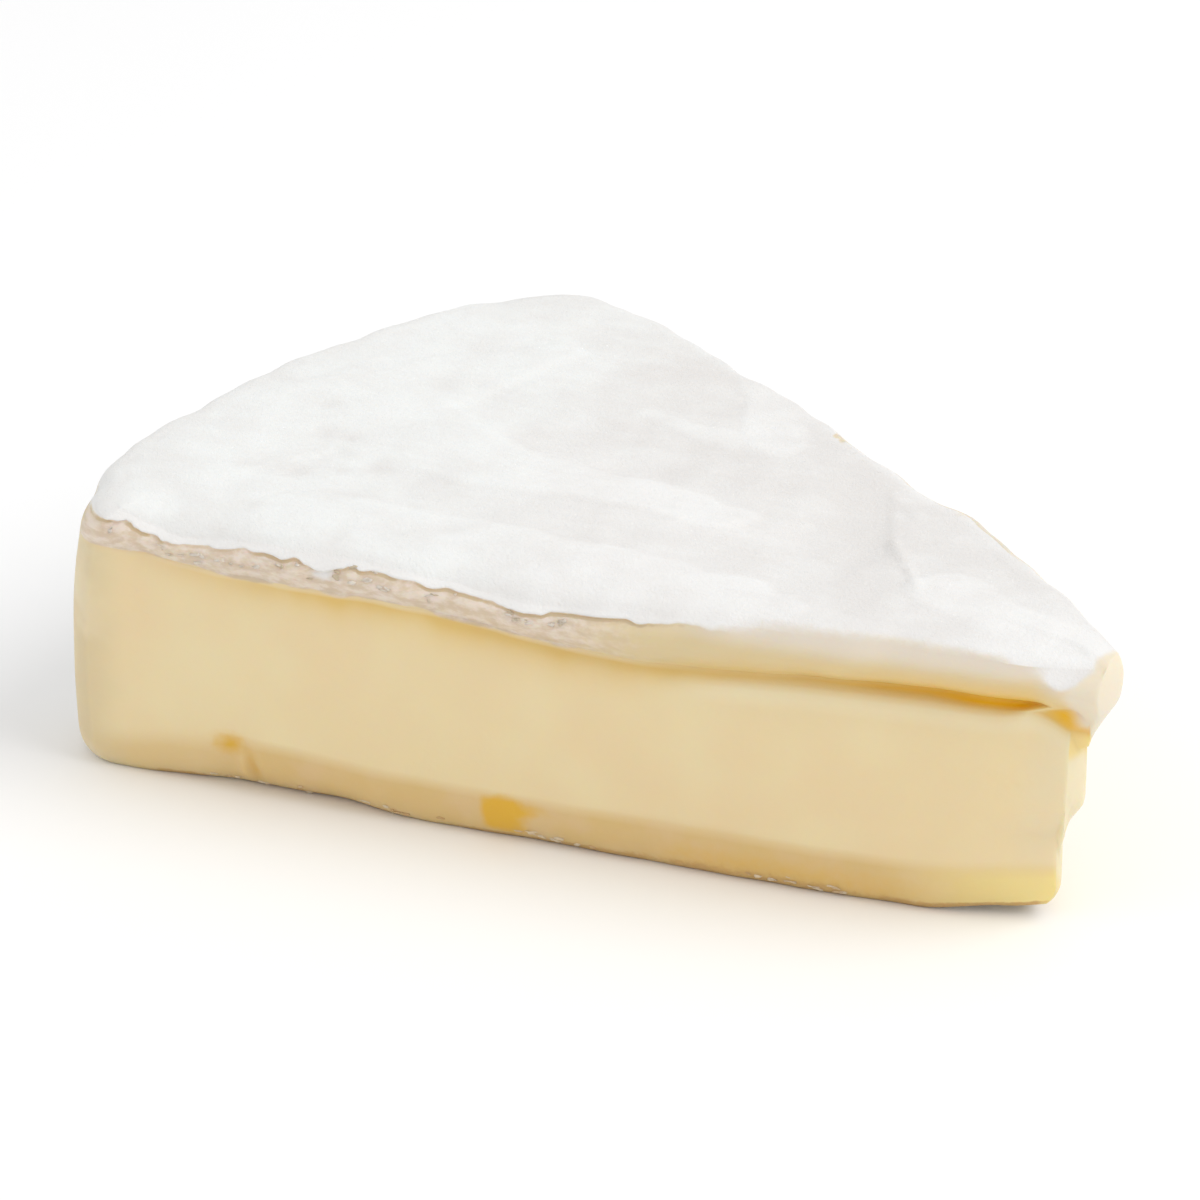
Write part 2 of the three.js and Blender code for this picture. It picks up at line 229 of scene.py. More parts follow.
BACK = SimpleNamespace(
    side=1,
    waves=230,
    bow=5.5,
    belly=0.7,
    top_edge=line(35, swell(-0.6, 0.36, 0.05), towards_rim(-0.5, 0.85, 1), towards_tip(-1.2, 0.1)),
    crease=line(28.2, swell(-1.4, 0.6, 0.16), towards_tip(-6, 0.18)),
    bevel_top=line(4.6, swell(0.9, 0.35, 0.08), towards_tip(-0.8, 0.1)),
    foot=line(0.9, towards_rim(0.9, 0.84, 0.94), swell(-0.9, 0.55, 0.1)),
    paste=line(2, *back_swells(1, 0.07), towards_tip(-1.05, 0.1)),
    lip=line(4, *back_swells(1.2, 0.05), towards_tip(1.3, 0.08)),
    crease_depth=line(1.1, towards_rim(-0.7, 0.3, 0.7)),
    tip_fullness=0.8,
    tip_bite=2.25,
    bridge=(0.3, 0.02),
    torn=(0.55, 0.65),
    worn=(0.16, 0.22, 0.3, 0.36),
)

# ---- Folds, steps, ridges and dimples of the top: x and y in millimetres from the wheel's centre ----
TOP_FOLDS = [
    # radius, angle, turn, half length, half width, height
    (62, -4, 6, 26, 5, 0.5),
    (78, 5, -3, 22, 4, -0.45),
    (40, 3, 20, 6, 9, -0.6),
    (31, -1, 15, 3, 8, 0.45),
    (103, -9, 40, 12, 7, -0.35),
    (98, 12, -30, 14, 6, 0.4),
]
# Thick skins of mould, each a chain of x, y and radius. They are a little higher and whiter than the rest.
LOBES = [
    [(-97, -5, 9), (-80, -4, 6), (-68, -0.5, 5), (-53, 1.2, 4.3)],
    [(-88, -31, 9), (-66, -21, 6.5), (-50, -16, 5.5), (-34, -12.5, 4)],
    [(-112, -24, 9), (-108, -4, 10), (-103, 14, 6), (-99, 26, 3)],
    [(-76, 38, 3), (-62, 22, 4)],
    [(-80, 19, 1.6), (-66, 20, 2.4)],
    [(-21, 2, 4.5), (-8, 1, 4)],
]
LOBE_HEIGHT = 0.26
LOBE_EDGE = (-1.2, 0.5)  # from where a lobe's edge starts to fall, to where it ends
LOBE_WANDER = 1.6  # how far its edge wanders, and over what length
LOBE_WANDER_LENGTH = 5
# A narrow ridge of mould: from, to, half width, height.
RIDGES = [
    ((-42, 20), (-35.5, 16.4), 0.8, 0.25),
    ((-41, 19), (-33.6, 9), 0.6, 0.16),
    ((-33.6, 9), (-27, 3.5), 0.7, 0.32),
    ((-27, 3.5), (-23.7, 0.3), 0.6, 0.3),
]
# Dimples: x, y, radius, depth.
DIMPLES = [
    (-109.8, -4.9, 1.5, 0.35), (-104.8, -11, 1.7, 0.25), (-101.2, -10, 1.2, 0.2), (-100, -21, 1.9, 0.3),
    (-96, -17.3, 1.3, 0.2), (-93.5, -13.9, 1.7, 0.25), (-103, 9, 2.4, 0.2), (-84.2, -31, 1.6, 0.2),
    (-75.6, -21, 1.7, 0.25), (-118, 18, 1.6, 0.25),
]
# The smooth grey dent across the wedge near its tip: from, to, half width, depth.
DENTS = [((-46, 18.5), (-34.5, 5), 3.3, 0.4), ((-34.5, 5), (-27.5, -7), 3.4, 0.4)]

# ---- Marks on the front cut face: t along it, height, and half sizes along and up in millimetres ----
NOTCH = SimpleNamespace(t=0.816, z=6.6, along=2, up=1.5, depth=0.6)
NOTCH_STAIN = SimpleNamespace(t=0.819, z=6.7, along=2.4, up=1.7)
NOTCH_RIDGE = SimpleNamespace(t=0.807, z=3.4, along=0.7, up=2.2, height=0.5)
NOTCH_CRACK = SimpleNamespace(t=0.797, z=3.4, along=0.8, up=2.4, depth=0.45)
# The overripe patch on the bevel, each part as where it starts, is full, starts to fade and ends.
RIPE_PATCH = [
    SimpleNamespace(t=(0.504, 0.542, 0.556, 0.571), z=(0.2, 2.2, 4.6, 7), strength=0.95),
    SimpleNamespace(t=(0.48, 0.512, 0.54, 0.56), z=(3.2, 4.6, 5.2, 7), strength=0.45),
]
OVERRUN = (0.715, 0.02)  # where the white crust runs down over the face: t and half length
OVERRUN_DROOP = 0.9
CRUST_DROOP = line(0, swell(1.5, 0.042, 0.013), towards_rim(0.8, 0.93, 0.97))  # how far the crust hangs lower
CRUST_TEARS = [(0.2, 5, 11, 1), (0.35, 1.7, 12, 2)]  # of its ragged line: height, length, seed and octaves
CRUST_TEARS_LEAST = 0.25  # the share of its tears that the crust keeps where it isn't torn
BACK_BARE = (0.5, 0.465, 0.43, 0.285, 0.22)  # where the back's top edge has lost its mould

# ---- Noise ----
NOISE_VALUES = 4096
NOISE_PRIMES = (73856093, 19349663, 83492791)  # they mix a cell's place into one number
OCTAVE_SHIFT = 17.3  # between one octave's pattern and the next one's


def noise(points, size, seed, detail=1):
    """Smooth noise from -1 to 1 at points in millimetres, with features of that size."""
    table = np.random.default_rng(seed).uniform(-1, 1, NOISE_VALUES)
    total, weight = 0.0, 0.0
    for octave in range(detail):
        share = 0.5**octave
        p = points / (size * share) + OCTAVE_SHIFT * octave
        cell = np.floor(p).astype(np.int64)
        part = p - cell
        part = part * part * (3 - 2 * part)
        for corner in np.ndindex(2, 2, 2):
            mixed = np.bitwise_xor.reduce((cell + corner) * NOISE_PRIMES, axis=-1)
            chosen = table[mixed % NOISE_VALUES]
            total = total + share * chosen * np.prod(np.where(corner, part, 1 - part), axis=-1)
        weight += share
    return total / weight


def noise_along(distance, size, seed, detail=1):
    distance = np.asarray(distance, float)
    zero = np.zeros_like(distance)
    return noise(np.stack([distance, zero, zero], -1), size, seed, detail)


def unevenness(along, up):
    return sum(h * np.sin(along * a + up * u + start) for h, a, u, start in WAVES)


FACE_T = (TIP_BLUNTNESS / WHEEL_RADIUS, 1 - CORNER_ROUNDING / WHEEL_RADIUS)
ACROSS = math.sin(HALF_ANGLE)
INWARDS = math.cos(HALF_ANGLE)


def face_plan(face, t, reach, tip):
    """Where a point of a cut face is, seen from above. At the tip it comes to where the tip is broken off."""
    out = reach + face.bow * (1 - np.abs(2 * t - 1) ** BOW_POWER)
    broken_off = (out * ACROSS - tip) / INWARDS - WHEEL_RADIUS * FACE_T[0]
    r = WHEEL_RADIUS * t + broken_off * (1 - smoothstep(t, FACE_T[0], FACE_T[0] + TIP_REACH))
    return -r * INWARDS + out * ACROSS, face.side * (r * ACROSS + out * INWARDS)


def rim_plan(angle, reach):
    r = WHEEL_RADIUS + reach
    return -r * np.cos(angle), r * np.sin(angle)


def torn(face, t):
    return smoothstep(t, *face.torn)


def crust_line(face, t):
    """The height at which the white crust ends on a cut face."""
    s = WHEEL_RADIUS * t + face.waves
    tears = sum(height * noise_along(s, *kind) for height, *kind in CRUST_TEARS)
    droop = CRUST_DROOP(t) + OVERRUN_DROOP * hump(t, *OVERRUN) * (face is FRONT)
    height = face.top_edge(t) - EDGE_DROP + tears * lerp(CRUST_TEARS_LEAST, 1, torn(face, t)) - droop
    return np.minimum(height, face.top_edge(t) - EDGE_LEAST)


def tip_line(zone, z, k):
    """How far forward the tip is broken off, k of the way up a zone."""
    foot = TIP_FOOT[0] * np.clip(1 - z / TIP_FOOT[1], 0, 1) ** 2
    paste = lerp(TIP_LOW, TIP_PASTE, smoothstep(z, *TIP_BITE_HEIGHTS)) - foot
    rind = lerp(*TIP_RIND, smoothstep(z, *TIP_RIND_HEIGHTS))
    if zone in ("bevel", "paste"):
        return paste
    if zone == "crease":
        return lerp(paste, rind, k)
    return rind - TIP_ROLL * np.interp(z, TIP_ROLL_HEIGHTS, (0, 1)) ** 3


def tip_bite(face, t, z):
    return -face.tip_bite * near_tip(t, TIP_BITE_REACH) * (1 - smoothstep(z, *TIP_BITE_HEIGHTS))


def opened(face, t):
    """How far open the crease is, from 0 to 1."""
    return lerp(CREASE_AT_TIP, 1, smoothstep(t, *CREASE_OPEN)) * (1 - 0.8 * hump(t, *face.bridge))


def crease_gape(t):
    return lerp(*CREASE_GAPE, smoothstep(t, *CREASE_OPEN))


def mark(place, t, z):
    return hump(WHEEL_RADIUS * (t - place.t), 0, place.along) * hump(z, place.z, place.up)


def marks(face, t, z):
    """How far the marks on a cut face stand in or out."""
    if face is not FRONT:
        return 0.0
    return (
        NOTCH_RIDGE.height * mark(NOTCH_RIDGE, t, z)
        - NOTCH.depth * mark(NOTCH, t, z)
        - NOTCH_CRACK.depth * mark(NOTCH_CRACK, t, z)
    )


def face_section(face, t, zone, k, crust_step):
    """The section through a cut face, k of the way up one of its zones: its height and its reach."""
    paste = face.paste(t)
    bevel_top = face.bevel_top(t)
    gape = crease_gape(t)
    shoulder = face.crease(t) - gape / 2
    rolled_in = np.minimum(SHOULDER_ROLL, SHOULDER_SHARE * face.crease_depth(t)) * opened(face, t)
    hollow = paste - face.crease_depth(t) * opened(face, t)
    quarter_turn = math.sin(k * math.pi / 2)
    if zone == "bevel":
        foot = face.foot(t) - FOOT_RADIUS
        z = bevel_top * k**BEVEL_CROWDING
        return z, lerp(foot, paste, quarter_turn) + tip_bite(face, t, z) + marks(face, t, z)
    if zone == "paste":
        z = lerp(bevel_top, shoulder, k)
        bulge = face.belly * smoothstep(t, *CREASE_OPEN) * math.sin(k * math.pi)
        return z, paste + bulge - rolled_in * k**SHOULDER_SHARPNESS + tip_bite(face, t, z) + marks(face, t, z)
    if zone == "crease":
        return shoulder + gape * k, lerp(paste - rolled_in, hollow, quarter_turn)
    low, high, edge = shoulder + gape, face.top_edge(t), crust_line(face, t)
    ends = {
        "band": (low, edge - EDGE_HALF),
        "edge": (edge - EDGE_HALF, edge + EDGE_HALF),
        "crust": (edge + EDGE_HALF, high),
    }
    z = lerp(*ends[zone], k)
    up = np.clip((z - low) / (high - low), 0, 1)
    fullness = lerp(face.tip_fullness, RIND_FULLNESS, smoothstep(t, *CREASE_OPEN))
    reach = lerp(hollow, face.lip(t), 1 - (1 - up) ** fullness) - LIP_ROLL * up**LIP_SHARPNESS
    under = 1 - smoothstep(z, edge - 0.7 * EDGE_HALF, edge + 0.7 * EDGE_HALF)
    recess = crust_step * torn(face, t) * under * np.exp(-np.maximum(0, edge - z) / RECESS_FADE)
    return z, reach - recess


def curled(points):
    """The points with the underside curled up towards the tip."""
    points = points.copy()
    lift = sum(height * (1 - smoothstep(-points[..., 0], low, high)) for height, low, high in TIP_LIFTS)
    points[..., 2] += lift * np.clip(1 - points[..., 2] / LIFT_HEIGHT, 0, 1)
    return points


def rim_top(angle):
    free = THICKNESS + TOP_TILT * rim_plan(angle, 0)[1] + RIM_RISE
    corner = np.where(np.asarray(angle) < 0, FRONT.top_edge(1), BACK.top_edge(1))
    return lerp(free, corner, smoothstep(np.abs(angle) / HALF_ANGLE, *RIM_LEVEL_SPAN))


def rim_roll(angle, share):
    def quarter_round(x):
        return 1 - np.sqrt(1 - x * x)

    foot = quarter_round(np.maximum(0, 1 - share / RIM_FOOT_SHARE))
    top = quarter_round(np.maximum(0, (share - RIM_TOP_SHARE) / (1 - RIM_TOP_SHARE)))
    lean = RIM_LEAN + CORNER_LEAN * smoothstep(-angle / HALF_ANGLE, 0.7, 1)
    return lean * share**LEAN_POWER + RIM_FOOT_ROUNDING * foot + RIM_TOP_ROUNDING * top


def face_point(face, t, zone, k, crust_step):
    t = np.asarray(t, float)
    z, reach = face_section(face, t, zone, k, crust_step)
    share = lerp(PASTE_UNEVENNESS, RIND_UNEVENNESS, smoothstep(z, *UNEVENNESS_CHANGE))
    wave = share * unevenness(WHEEL_RADIUS * t + face.waves, z) * smoothstep(t, 0, 0.15)
    corner = face.side * HALF_ANGLE
    roll = rim_roll(corner, np.minimum(1, z / rim_top(corner))) * smoothstep(t, 0.85, 1)
    x, y = face_plan(face, t - roll / WHEEL_RADIUS, reach + wave, tip_line(zone, z, k))
    return np.stack([x, y, z], -1)


def rim_point(angle, zone, k):
    angle = np.asarray(angle, float)
    share = lerp(*ZONE_ON_RIM[zone], k)
    z = rim_top(angle) * share
    wave = unevenness(WHEEL_RADIUS * angle + RIM_WAVES, z)
    x, y = rim_plan(angle, wave - rim_roll(angle, share))
    return np.stack([x, y, z], -1)


def rounded(start, sharp, end, k):
    k = np.asarray(k)[:, None]
    return (1 - k) ** 2 * start + 2 * k * (1 - k) * sharp + k**2 * end


RIM_LIMIT = HALF_ANGLE - CORNER_ROUNDING / WHEEL_RADIUS


def corner_points(face, turn, zone, k, crust_step):
    start = face_point(face, FACE_T[1], zone, k, crust_step)
    end = rim_point(face.side * RIM_LIMIT, zone, k)
    sharp = (face_point(face, 1, zone, k, crust_step) + rim_point(face.side * HALF_ANGLE, zone, k)) / 2
    return rounded(start, sharp, end, turn)


def tip_points(turn, zone, k, crust_step):
    start = face_point(FRONT, FACE_T[0], zone, k, crust_step)
    end = face_point(BACK, FACE_T[0], zone, k, crust_step)
    sharp = (start + end) / 2
    sharp[0] += (1 - TIP_FLATNESS) * (end[1] - start[1]) / 2
    points = rounded(start, sharp, end, turn)
    points[:, 2] = lerp(start[2], end[2], 1 - (1 - turn) ** TIP_FALL)
    return points


# ---- The outline: stations that run round the wedge anticlockwise, seen from above ----
def outline():
    """Groups of stations. t is 0 at the tip and 1 at the rim, back is 0 on the front and 1 on the back, rind is
    1 on the rim, along is a distance along the surface, and facet is 1 where the tip is broken off."""

    def group(point, t, back, rind, along, facet=0):
        t, back, rind, along, facet = np.broadcast_arrays(np.asarray(t, float), back, rind, along, facet)
        return SimpleNamespace(point=point, t=t, back=back, rind=rind, along=along, facet=facet)

    def inner(count):
        return np.linspace(0, 1, count + 1)[1:-1]

    tip, corner = inner(TIP_STEPS), inner(CORNER_STEPS)
    turned = corner[::-1]
    front, back = (np.linspace(*FACE_T, count) for count in (FRONT_STEPS, BACK_STEPS))
    rim = np.linspace(RIM_LIMIT, -RIM_LIMIT, RIM_STEPS)
    face_end = WHEEL_RADIUS * FACE_T[1]
    return [
        group(lambda *a: tip_points(tip, *a), FACE_T[0] * np.abs(1 - 2 * tip), tip, 0, 2 - 4 * tip, 1),
        group(lambda *a: face_point(BACK, back, *a), back, 1, 0, -WHEEL_RADIUS * back),
        group(lambda *a: corner_points(BACK, corner, *a), 1, 1, corner, -face_end - CORNER_ROUNDING * corner),
        group(lambda z, k, _: rim_point(rim, z, k), 1, rim > 0, 1, WHEEL_RADIUS * (2 + rim)),
        group(lambda *a: corner_points(FRONT, turned, *a), 1, 0, turned, face_end + CORNER_ROUNDING * turned),
        group(lambda *a: face_point(FRONT, front[::-1], *a), front[::-1], 0, 0, WHEEL_RADIUS * front[::-1]),
    ]


def joined(groups, name):
    return np.concatenate([getattr(g, name) for g in groups])


def wall_rows():
    rows = [(zone, k) for zone, count in ZONE_STEPS.items() for k in np.linspace(0, 1, count, endpoint=False)]
    return rows + [("crust", 1.0)]


# ---- The top ----
def from_line(x, y, start, end):
    """The distance from a stretch of line, positive to its left, and the share of the way along it."""
    dx, dy = end[0] - start[0], end[1] - start[1]
    length = math.hypot(dx, dy)
    share = np.clip(((x - start[0]) * dx + (y - start[1]) * dy) / length**2, 0, 1)
    gap = np.hypot(x - start[0] - share * dx, y - start[1] - share * dy)
    left = np.sign(dx * (y - start[1]) - dy * (x - start[0]))
    return gap * np.where(left == 0, 1, left), share


def in_lobe(x, y):
    """1 inside a lobe of thick mould and 0 outside, with an uneven edge."""
    points = np.stack([x, y, np.zeros_like(x)], -1)
    wander = [LOBE_WANDER * noise(points, LOBE_WANDER_LENGTH, seed, 3) for seed in (41, 42)]
    x, y = x + wander[0], y + wander[1]
    gaps = []
    for chain in LOBES:
        for (ax, ay, ar), (bx, by, br) in zip(chain, chain[1:]):
            gap, share = from_line(x, y, (ax, ay), (bx, by))
            gaps.append(np.abs(gap) - lerp(ar, br, share))
    return 1 - smoothstep(np.min(gaps, 0), *LOBE_EDGE)


def stroke(x, y, start, end, half_width):
    """1 along a short stretch of line, fading away from it."""
    return np.exp(-((np.abs(from_line(x, y, start, end)[0]) / half_width) ** 3))


def top_relief(x, y):
    total = LOBE_HEIGHT * in_lobe(x, y)
    total = total + sum(height * stroke(x, y, a, b, width) for a, b, width, height in RIDGES)
    total = total - sum(depth * stroke(x, y, a, b, width) for a, b, width, depth in DENTS)
    return total - sum(depth * hump(np.hypot(x - a, y - b), 0, r) for a, b, r, depth in DIMPLES)


def top_height(x, y):
    rise = RIM_RISE * smoothstep(np.hypot(x, y) / WHEEL_RADIUS, *RIM_RISE_SPAN)
    folds = 0.0
    for radius, angle, turn, half_length, half_width, height in TOP_FOLDS:
        a, b = math.radians(angle), -math.radians(turn)
        dx, dy = x + radius * math.cos(a), y - radius * math.sin(a)
        u = dx * math.cos(b) - dy * math.sin(b)
        v = dx * math.sin(b) + dy * math.cos(b)
        folds = folds + height * hump(u, 0, half_length) * hump(v, 0, half_width)
    return THICKNESS + TOP_TILT * y + rise + folds + TOP_UNEVENNESS * unevenness(x, y)


def top_z(x, y, edge_z, from_edge):
    """The top levels out from the edge's own height to the top's, and its relief begins inside the edge."""
    level = top_height(x, y) + top_relief(x, y) * (1 - np.exp(-from_edge / RELIEF_REACH))
    return level + (edge_z - level) * np.exp(-from_edge / EDGE_REACH)


# ---- The two caps ----
def inset_rings(ring, spine):
    """Rings inside the outline, each a little nearer to the spine."""
    towards = spine - ring[:, :2]
    towards /= np.linalg.norm(towards, axis=1)[:, None]
    return [ring[:, :2] + towards * inset for inset in INSETS]


def filled(boundary, spacing):
    """A closed boundary and points spread evenly inside it, and the triangles that fill it."""
    low, high = boundary.min(0), boundary.max(0)
    rows = np.arange(low[1], high[1], spacing * math.sqrt(3) / 2)
    columns = np.arange(low[0], high[0], spacing)
    x, y = np.meshgrid(columns, rows)
    x = x + spacing / 2 * (np.arange(len(rows)) % 2)[:, None]
    x, y = x.ravel(), y.ravel()
    inside = np.zeros(len(x), bool)
    for (ax, ay), (bx, by) in zip(boundary, np.roll(boundary, -1, 0)):
        crosses = (ay > y) != (by > y)
        inside ^= crosses & (x < (bx - ax) * (y - ay) / np.where(crosses, by - ay, 1) + ax)
    near = kdtree.KDTree(len(boundary))
    for i, (bx, by) in enumerate(boundary):
        near.insert((bx, by, 0), i)
    near.balance()
    found = [near.find((px, py, 0)) for px, py in zip(x, y)]
    gap = np.array([f[2] for f in found])
    keep = inside & (gap > LEAST_GAP * spacing)
    points = np.concatenate([boundary, np.stack([x[keep], y[keep]], -1)])
    count = len(boundary)
    edges = [(i, (i + 1) % count) for i in range(count)]
    made, _, faces, came_from, _, _ = delaunay_2d_cdt([Vector(p) for p in points], edges, [], 1, 1e-7)
    if len(made) != len(points):
        raise RuntimeError("the cap's triangles don't use each of its points once")
    index = np.array([c[0] for c in came_from])
    triangles = index[np.array(faces)]
    a, b, c = (points[triangles[:, i]] for i in range(3))
    turned = np.cross(b - a, c - a) < 0
    triangles[turned] = triangles[turned][:, ::-1]
    nearest = np.array([f[1] for f in found])[keep]
    return points, triangles, nearest


def ring_faces(low, high):
    """Quads between two rings of vertex numbers."""
    return np.stack([low, np.roll(low, -1), np.roll(high, -1), high], -1)


# ---- What covers each part of the surface: masks from 0 to 1 ----
# Their numbers are heights and distances in millimetres, or places along a face, at which a mask starts, is
# full, starts to fade and ends, or else its centre and its half width. Noise ends in its seed and octaves.
def box_mask(x, low, rise, fall, high):
    return smoothstep(x, low, rise) * (1 - smoothstep(x, fall, high))


def tip_bare(points):
    """How bare the tip of the rind is, and how cream it is there, each from 0 to 1."""
    x = points[..., 0] + 0.5 * noise(points, 1.6, 24, 2)
    return smoothstep(x, 0.3, 2.5), smoothstep(x, -1.8, 0.3)


def bare_back(points, from_edge):
    """Near 1 in small ragged spots along the back's top edge, where the mould has rubbed off."""
    x, y = points[..., 0], points[..., 1]
    t = (-x * INWARDS + y * ACROSS) / WHEEL_RADIUS
    spots = np.clip(sum(hump(t, centre, 0.016) for centre in BACK_BARE), 0, 1)
    ragged = smoothstep(noise(points * (1, 1, 2), 1.5, 25, 2), -0.1, 0.35)
    return spots * ragged * smoothstep(x * ACROSS + y * INWARDS, 0, 4) * (1 - smoothstep(from_edge, 0.3, 1.6))


def wall_masks(groups, points):
    t, back, rind, along, facet = (joined(groups, name) for name in ("t", "back", "rind", "along", "facet"))

    def here(value):
        """What a value is on the cut face that each station belongs to."""
        return lerp(value(FRONT), value(BACK), back)

    z = points[..., 2]
    rind = np.clip(rind + 1.6 * rind * (1 - rind) * noise(points, 3, 39, 2), 0, 1)
    edge = here(lambda face: crust_line(face, t))
    below, above = edge - z, z - here(lambda face: face.crease(t))
    is_torn = here(lambda face: torn(face, t))
    on_face = 1 - smoothstep(rind, 0.1, 0.75)
    front = 1 - smoothstep(back, 0.2, 0.6)
    above_crease = smoothstep(above, -0.4, 0.4)

    # The crust: torn off along a line, or thinning out over the lip.
    soft = (1 - smoothstep(below, -0.8, 0.6)) * (1 - here(lambda face: box_mask(t, *face.worn)))
    sharp = 1 - smoothstep(below, -0.12, 0.12)
    overrun = 0.8 * hump(t, OVERRUN[0], 0.6 * OVERRUN[1]) * front * (1 - smoothstep(below, 0.4, 1.6))
    mould_face = np.maximum(lerp(soft, sharp, is_torn), overrun) * (1 - bare_back(points, 0.0))
    patchy = 0.5 * noise(points, 8, 21, 3) + 0.4 * noise(points * (1, 1, 2.6), 5, 23, 2)
    from_front = points[..., 1] * INWARDS - points[..., 0] * ACROSS + 2 * patchy
    mould_rim = np.clip(0.78 + 0.9 * patchy, 0.3, 1) * smoothstep(rind, 0.3, 0.8)
    mould_rim = np.maximum(mould_rim * lerp(0.3, 1, smoothstep(from_front, 1, 11)), smoothstep(z, 31.6, 33.4))
    bare, cream = tip_bare(points)

    # The layer under the crust: chalky where the crust is torn, and else a lip that turns from grey to tan.
    scalloped = above + 0.7 * noise_along(along, 3.4, 34, 2)
    chalk = smoothstep(scalloped, 0.1, 0.9) * (1 - smoothstep(z, edge - 0.1, edge + 0.3)) * is_torn * on_face
    chalk = chalk * lerp(1, lerp(0.3, 1, smoothstep(t, 0.35, 0.58)), front)
    # Near the corner with the rim the face is tanned and darkened: partly bare rind colour, partly painted
    # shade.
    rim_edge_tan_and_shade = smoothstep(t + 0.01 * noise(points, 6, 41, 2), 0.92, 0.985)

    # The crease takes a painted ochre shade with warm bounce light, deepest where the crease is deep and also
    # under the band's overhang, and the paste's shoulder below it takes a painted highlight.
    strength = (1 - 0.75 * here(lambda face: hump(t, *face.bridge))) * smoothstep(t, 0.004, 0.018)
    strength = strength * lerp(1, 0.5, smoothstep(t, 0.05, 0.3)) * (1 - 0.5 * smoothstep(t, 0.72, 0.82))
    strength = strength * (1 - smoothstep(t, 0.82, 0.95))
    fading = lerp(1.5, 2, is_torn) - 0.5 * near_tip(t, 0.3)
    over = np.clip(1 - above / lerp(5, 0.8, is_torn), 0, 1) ** fading
    reach = lerp(0.45, 1.9, is_torn) + 0.35 * near_tip(t, 0.13)
    under = np.exp(-np.abs(np.minimum(lerp(above, scalloped, is_torn), 0) / reach) ** 1.3)
    under = under * (1 - 0.25 * box_mask(t, 0.1, 0.15, 0.25, 0.35))
    flap = facet * box_mask(z, 21, 22.4, 25, 26.5)
    # shoulder: a painted highlight on the paste's rounded shoulder just under the crease, where light from above
    # catches it
    shoulder = box_mask(above, -3.6, -1.7, -0.9, -0.5) * (1 - is_torn) * on_face * (1 - facet)

    # The line under the torn crust, partly tanned rind and partly painted shadow under the crust's lip, and the
    # tanned foot.
    crust_shade = lerp(0.45, 1, smoothstep(noise_along(along, 3.2, 31, 2), -0.6, -0.1))
    crust_shade = crust_shade * hump(below, 0.22, 0.2) * is_torn * (1 - hump(t, *OVERRUN) * front)
    tanned = hump(t, 0.29, 0.13)
    ground = lerp(0.35 + 0.4 * tanned, 1, smoothstep(noise_along(along, 5, 32, 2), -0.3, 0.3))
    ground = ground * hump(z, 0.25, 0.5 + 1.6 * tanned)

    # The bevel along the foot; its colour carries painted shade of the down-facing bevel as well as riper paste.
    bevel_top = here(lambda face: face.bevel_top(t))
    spread = lerp(0.7, 2, smoothstep(t, 0.8, 0.86)) + 1.4 * near_tip(t, 0.2)
    bevel = 1 - smoothstep(z, bevel_top - 1.3 * spread, bevel_top + 0.7 + 0.4 * hump(t, 0.35, 0.1))
    bevel = bevel * on_face * (1 - 0.6 * facet) * lerp(1, 0.7, smoothstep(t, 0.8, 0.86))

    # Overripe: the patch on the bevel, the notch and its crack and a spot near the tip; and low, a darker,
    # yellower stretch along the bevel's foot.
    push = 0.004 * noise(points, 2.2, 35, 2), 0.7 * noise(points, 2.6, 36, 2)
    patch = sum(p.strength * box_mask(t + push[0], *p.t) * box_mask(z + push[1], *p.z) for p in RIPE_PATCH)
    in_notch = 0.8 * mark(NOTCH_STAIN, t + 2 * push[0], z + push[1]) + 0.5 * mark(NOTCH_CRACK, t + push[0], z)
    warm = 0.16 * hump(WHEEL_RADIUS * (t - 0.06), 0, 3.2) * hump(z, 18.5, 2.6)
    low = 0.38 * box_mask(t, 0.08, 0.2, 0.35, 0.43) * (1 - smoothstep(z, 2.5, 6.5))

    shreds = smoothstep(noise_along(along, 9, 33), -0.2, 0.3) * smoothstep(t, 0.12, 0.3)
    tip = np.maximum(facet, 0.8 * near_tip(t + 0.02 * noise(points, 4, 38, 2), 0.06))
    made = {
        "mould": lerp(mould_rim, mould_face, on_face) * (1 - bare),
        # Near the rim, rind and lip carry the corner's tan together with its painted shade.
        "rind": np.maximum(1 - on_face, 0.35 * rim_edge_tan_and_shade * (1 - above_crease)),
        "chalk": chalk,
        "lip": np.maximum(smoothstep(above, 0.2, 1.6), 0.9 * rim_edge_tan_and_shade) * on_face,
        "veil": (1 - smoothstep(below, -0.6, 1.9)) * (1 - is_torn) * on_face,
        "cream": cream * above_crease,
        # painted shade and warm bounce light along the crease, under the band's overhang and on the flap at the
        # tip
        "ochre": np.maximum(np.where(above > 0, over, under) * strength * on_face, 0.16 * flap),
        "shoulder": shoulder,
        "rust": crust_shade * on_face,
        "ground": ground * on_face,
        "bevel": bevel,
        "yellow": np.maximum(bevel * near_tip(t, 0.2), 0.85 * flap),
        "ripe": np.clip(patch + in_notch + warm + low, 0, 1) * front * on_face,
        "crumb": near_tip(t, 0.055) * box_mask(z, 9, 12, 16, 19),
        "flaky": is_torn * hump(below, 1.0, 0.6) * on_face * box_mask(t, 0.42, 0.52, 0.93, 0.97),
        "fleck": hump(z, 1.1, 0.45) * on_face * shreds,
        "tip": tip * (1 - above_crease),
        "thin": 0.25 + 0.6 * near_tip(t, 0.09),
        "cool": rind,
    }
    grain = np.stack([np.broadcast_to(along, z.shape), z, np.zeros(z.shape)], -1)
    return {name: np.broadcast_to(values, z.shape).ravel() for name, values in made.items()}, grain


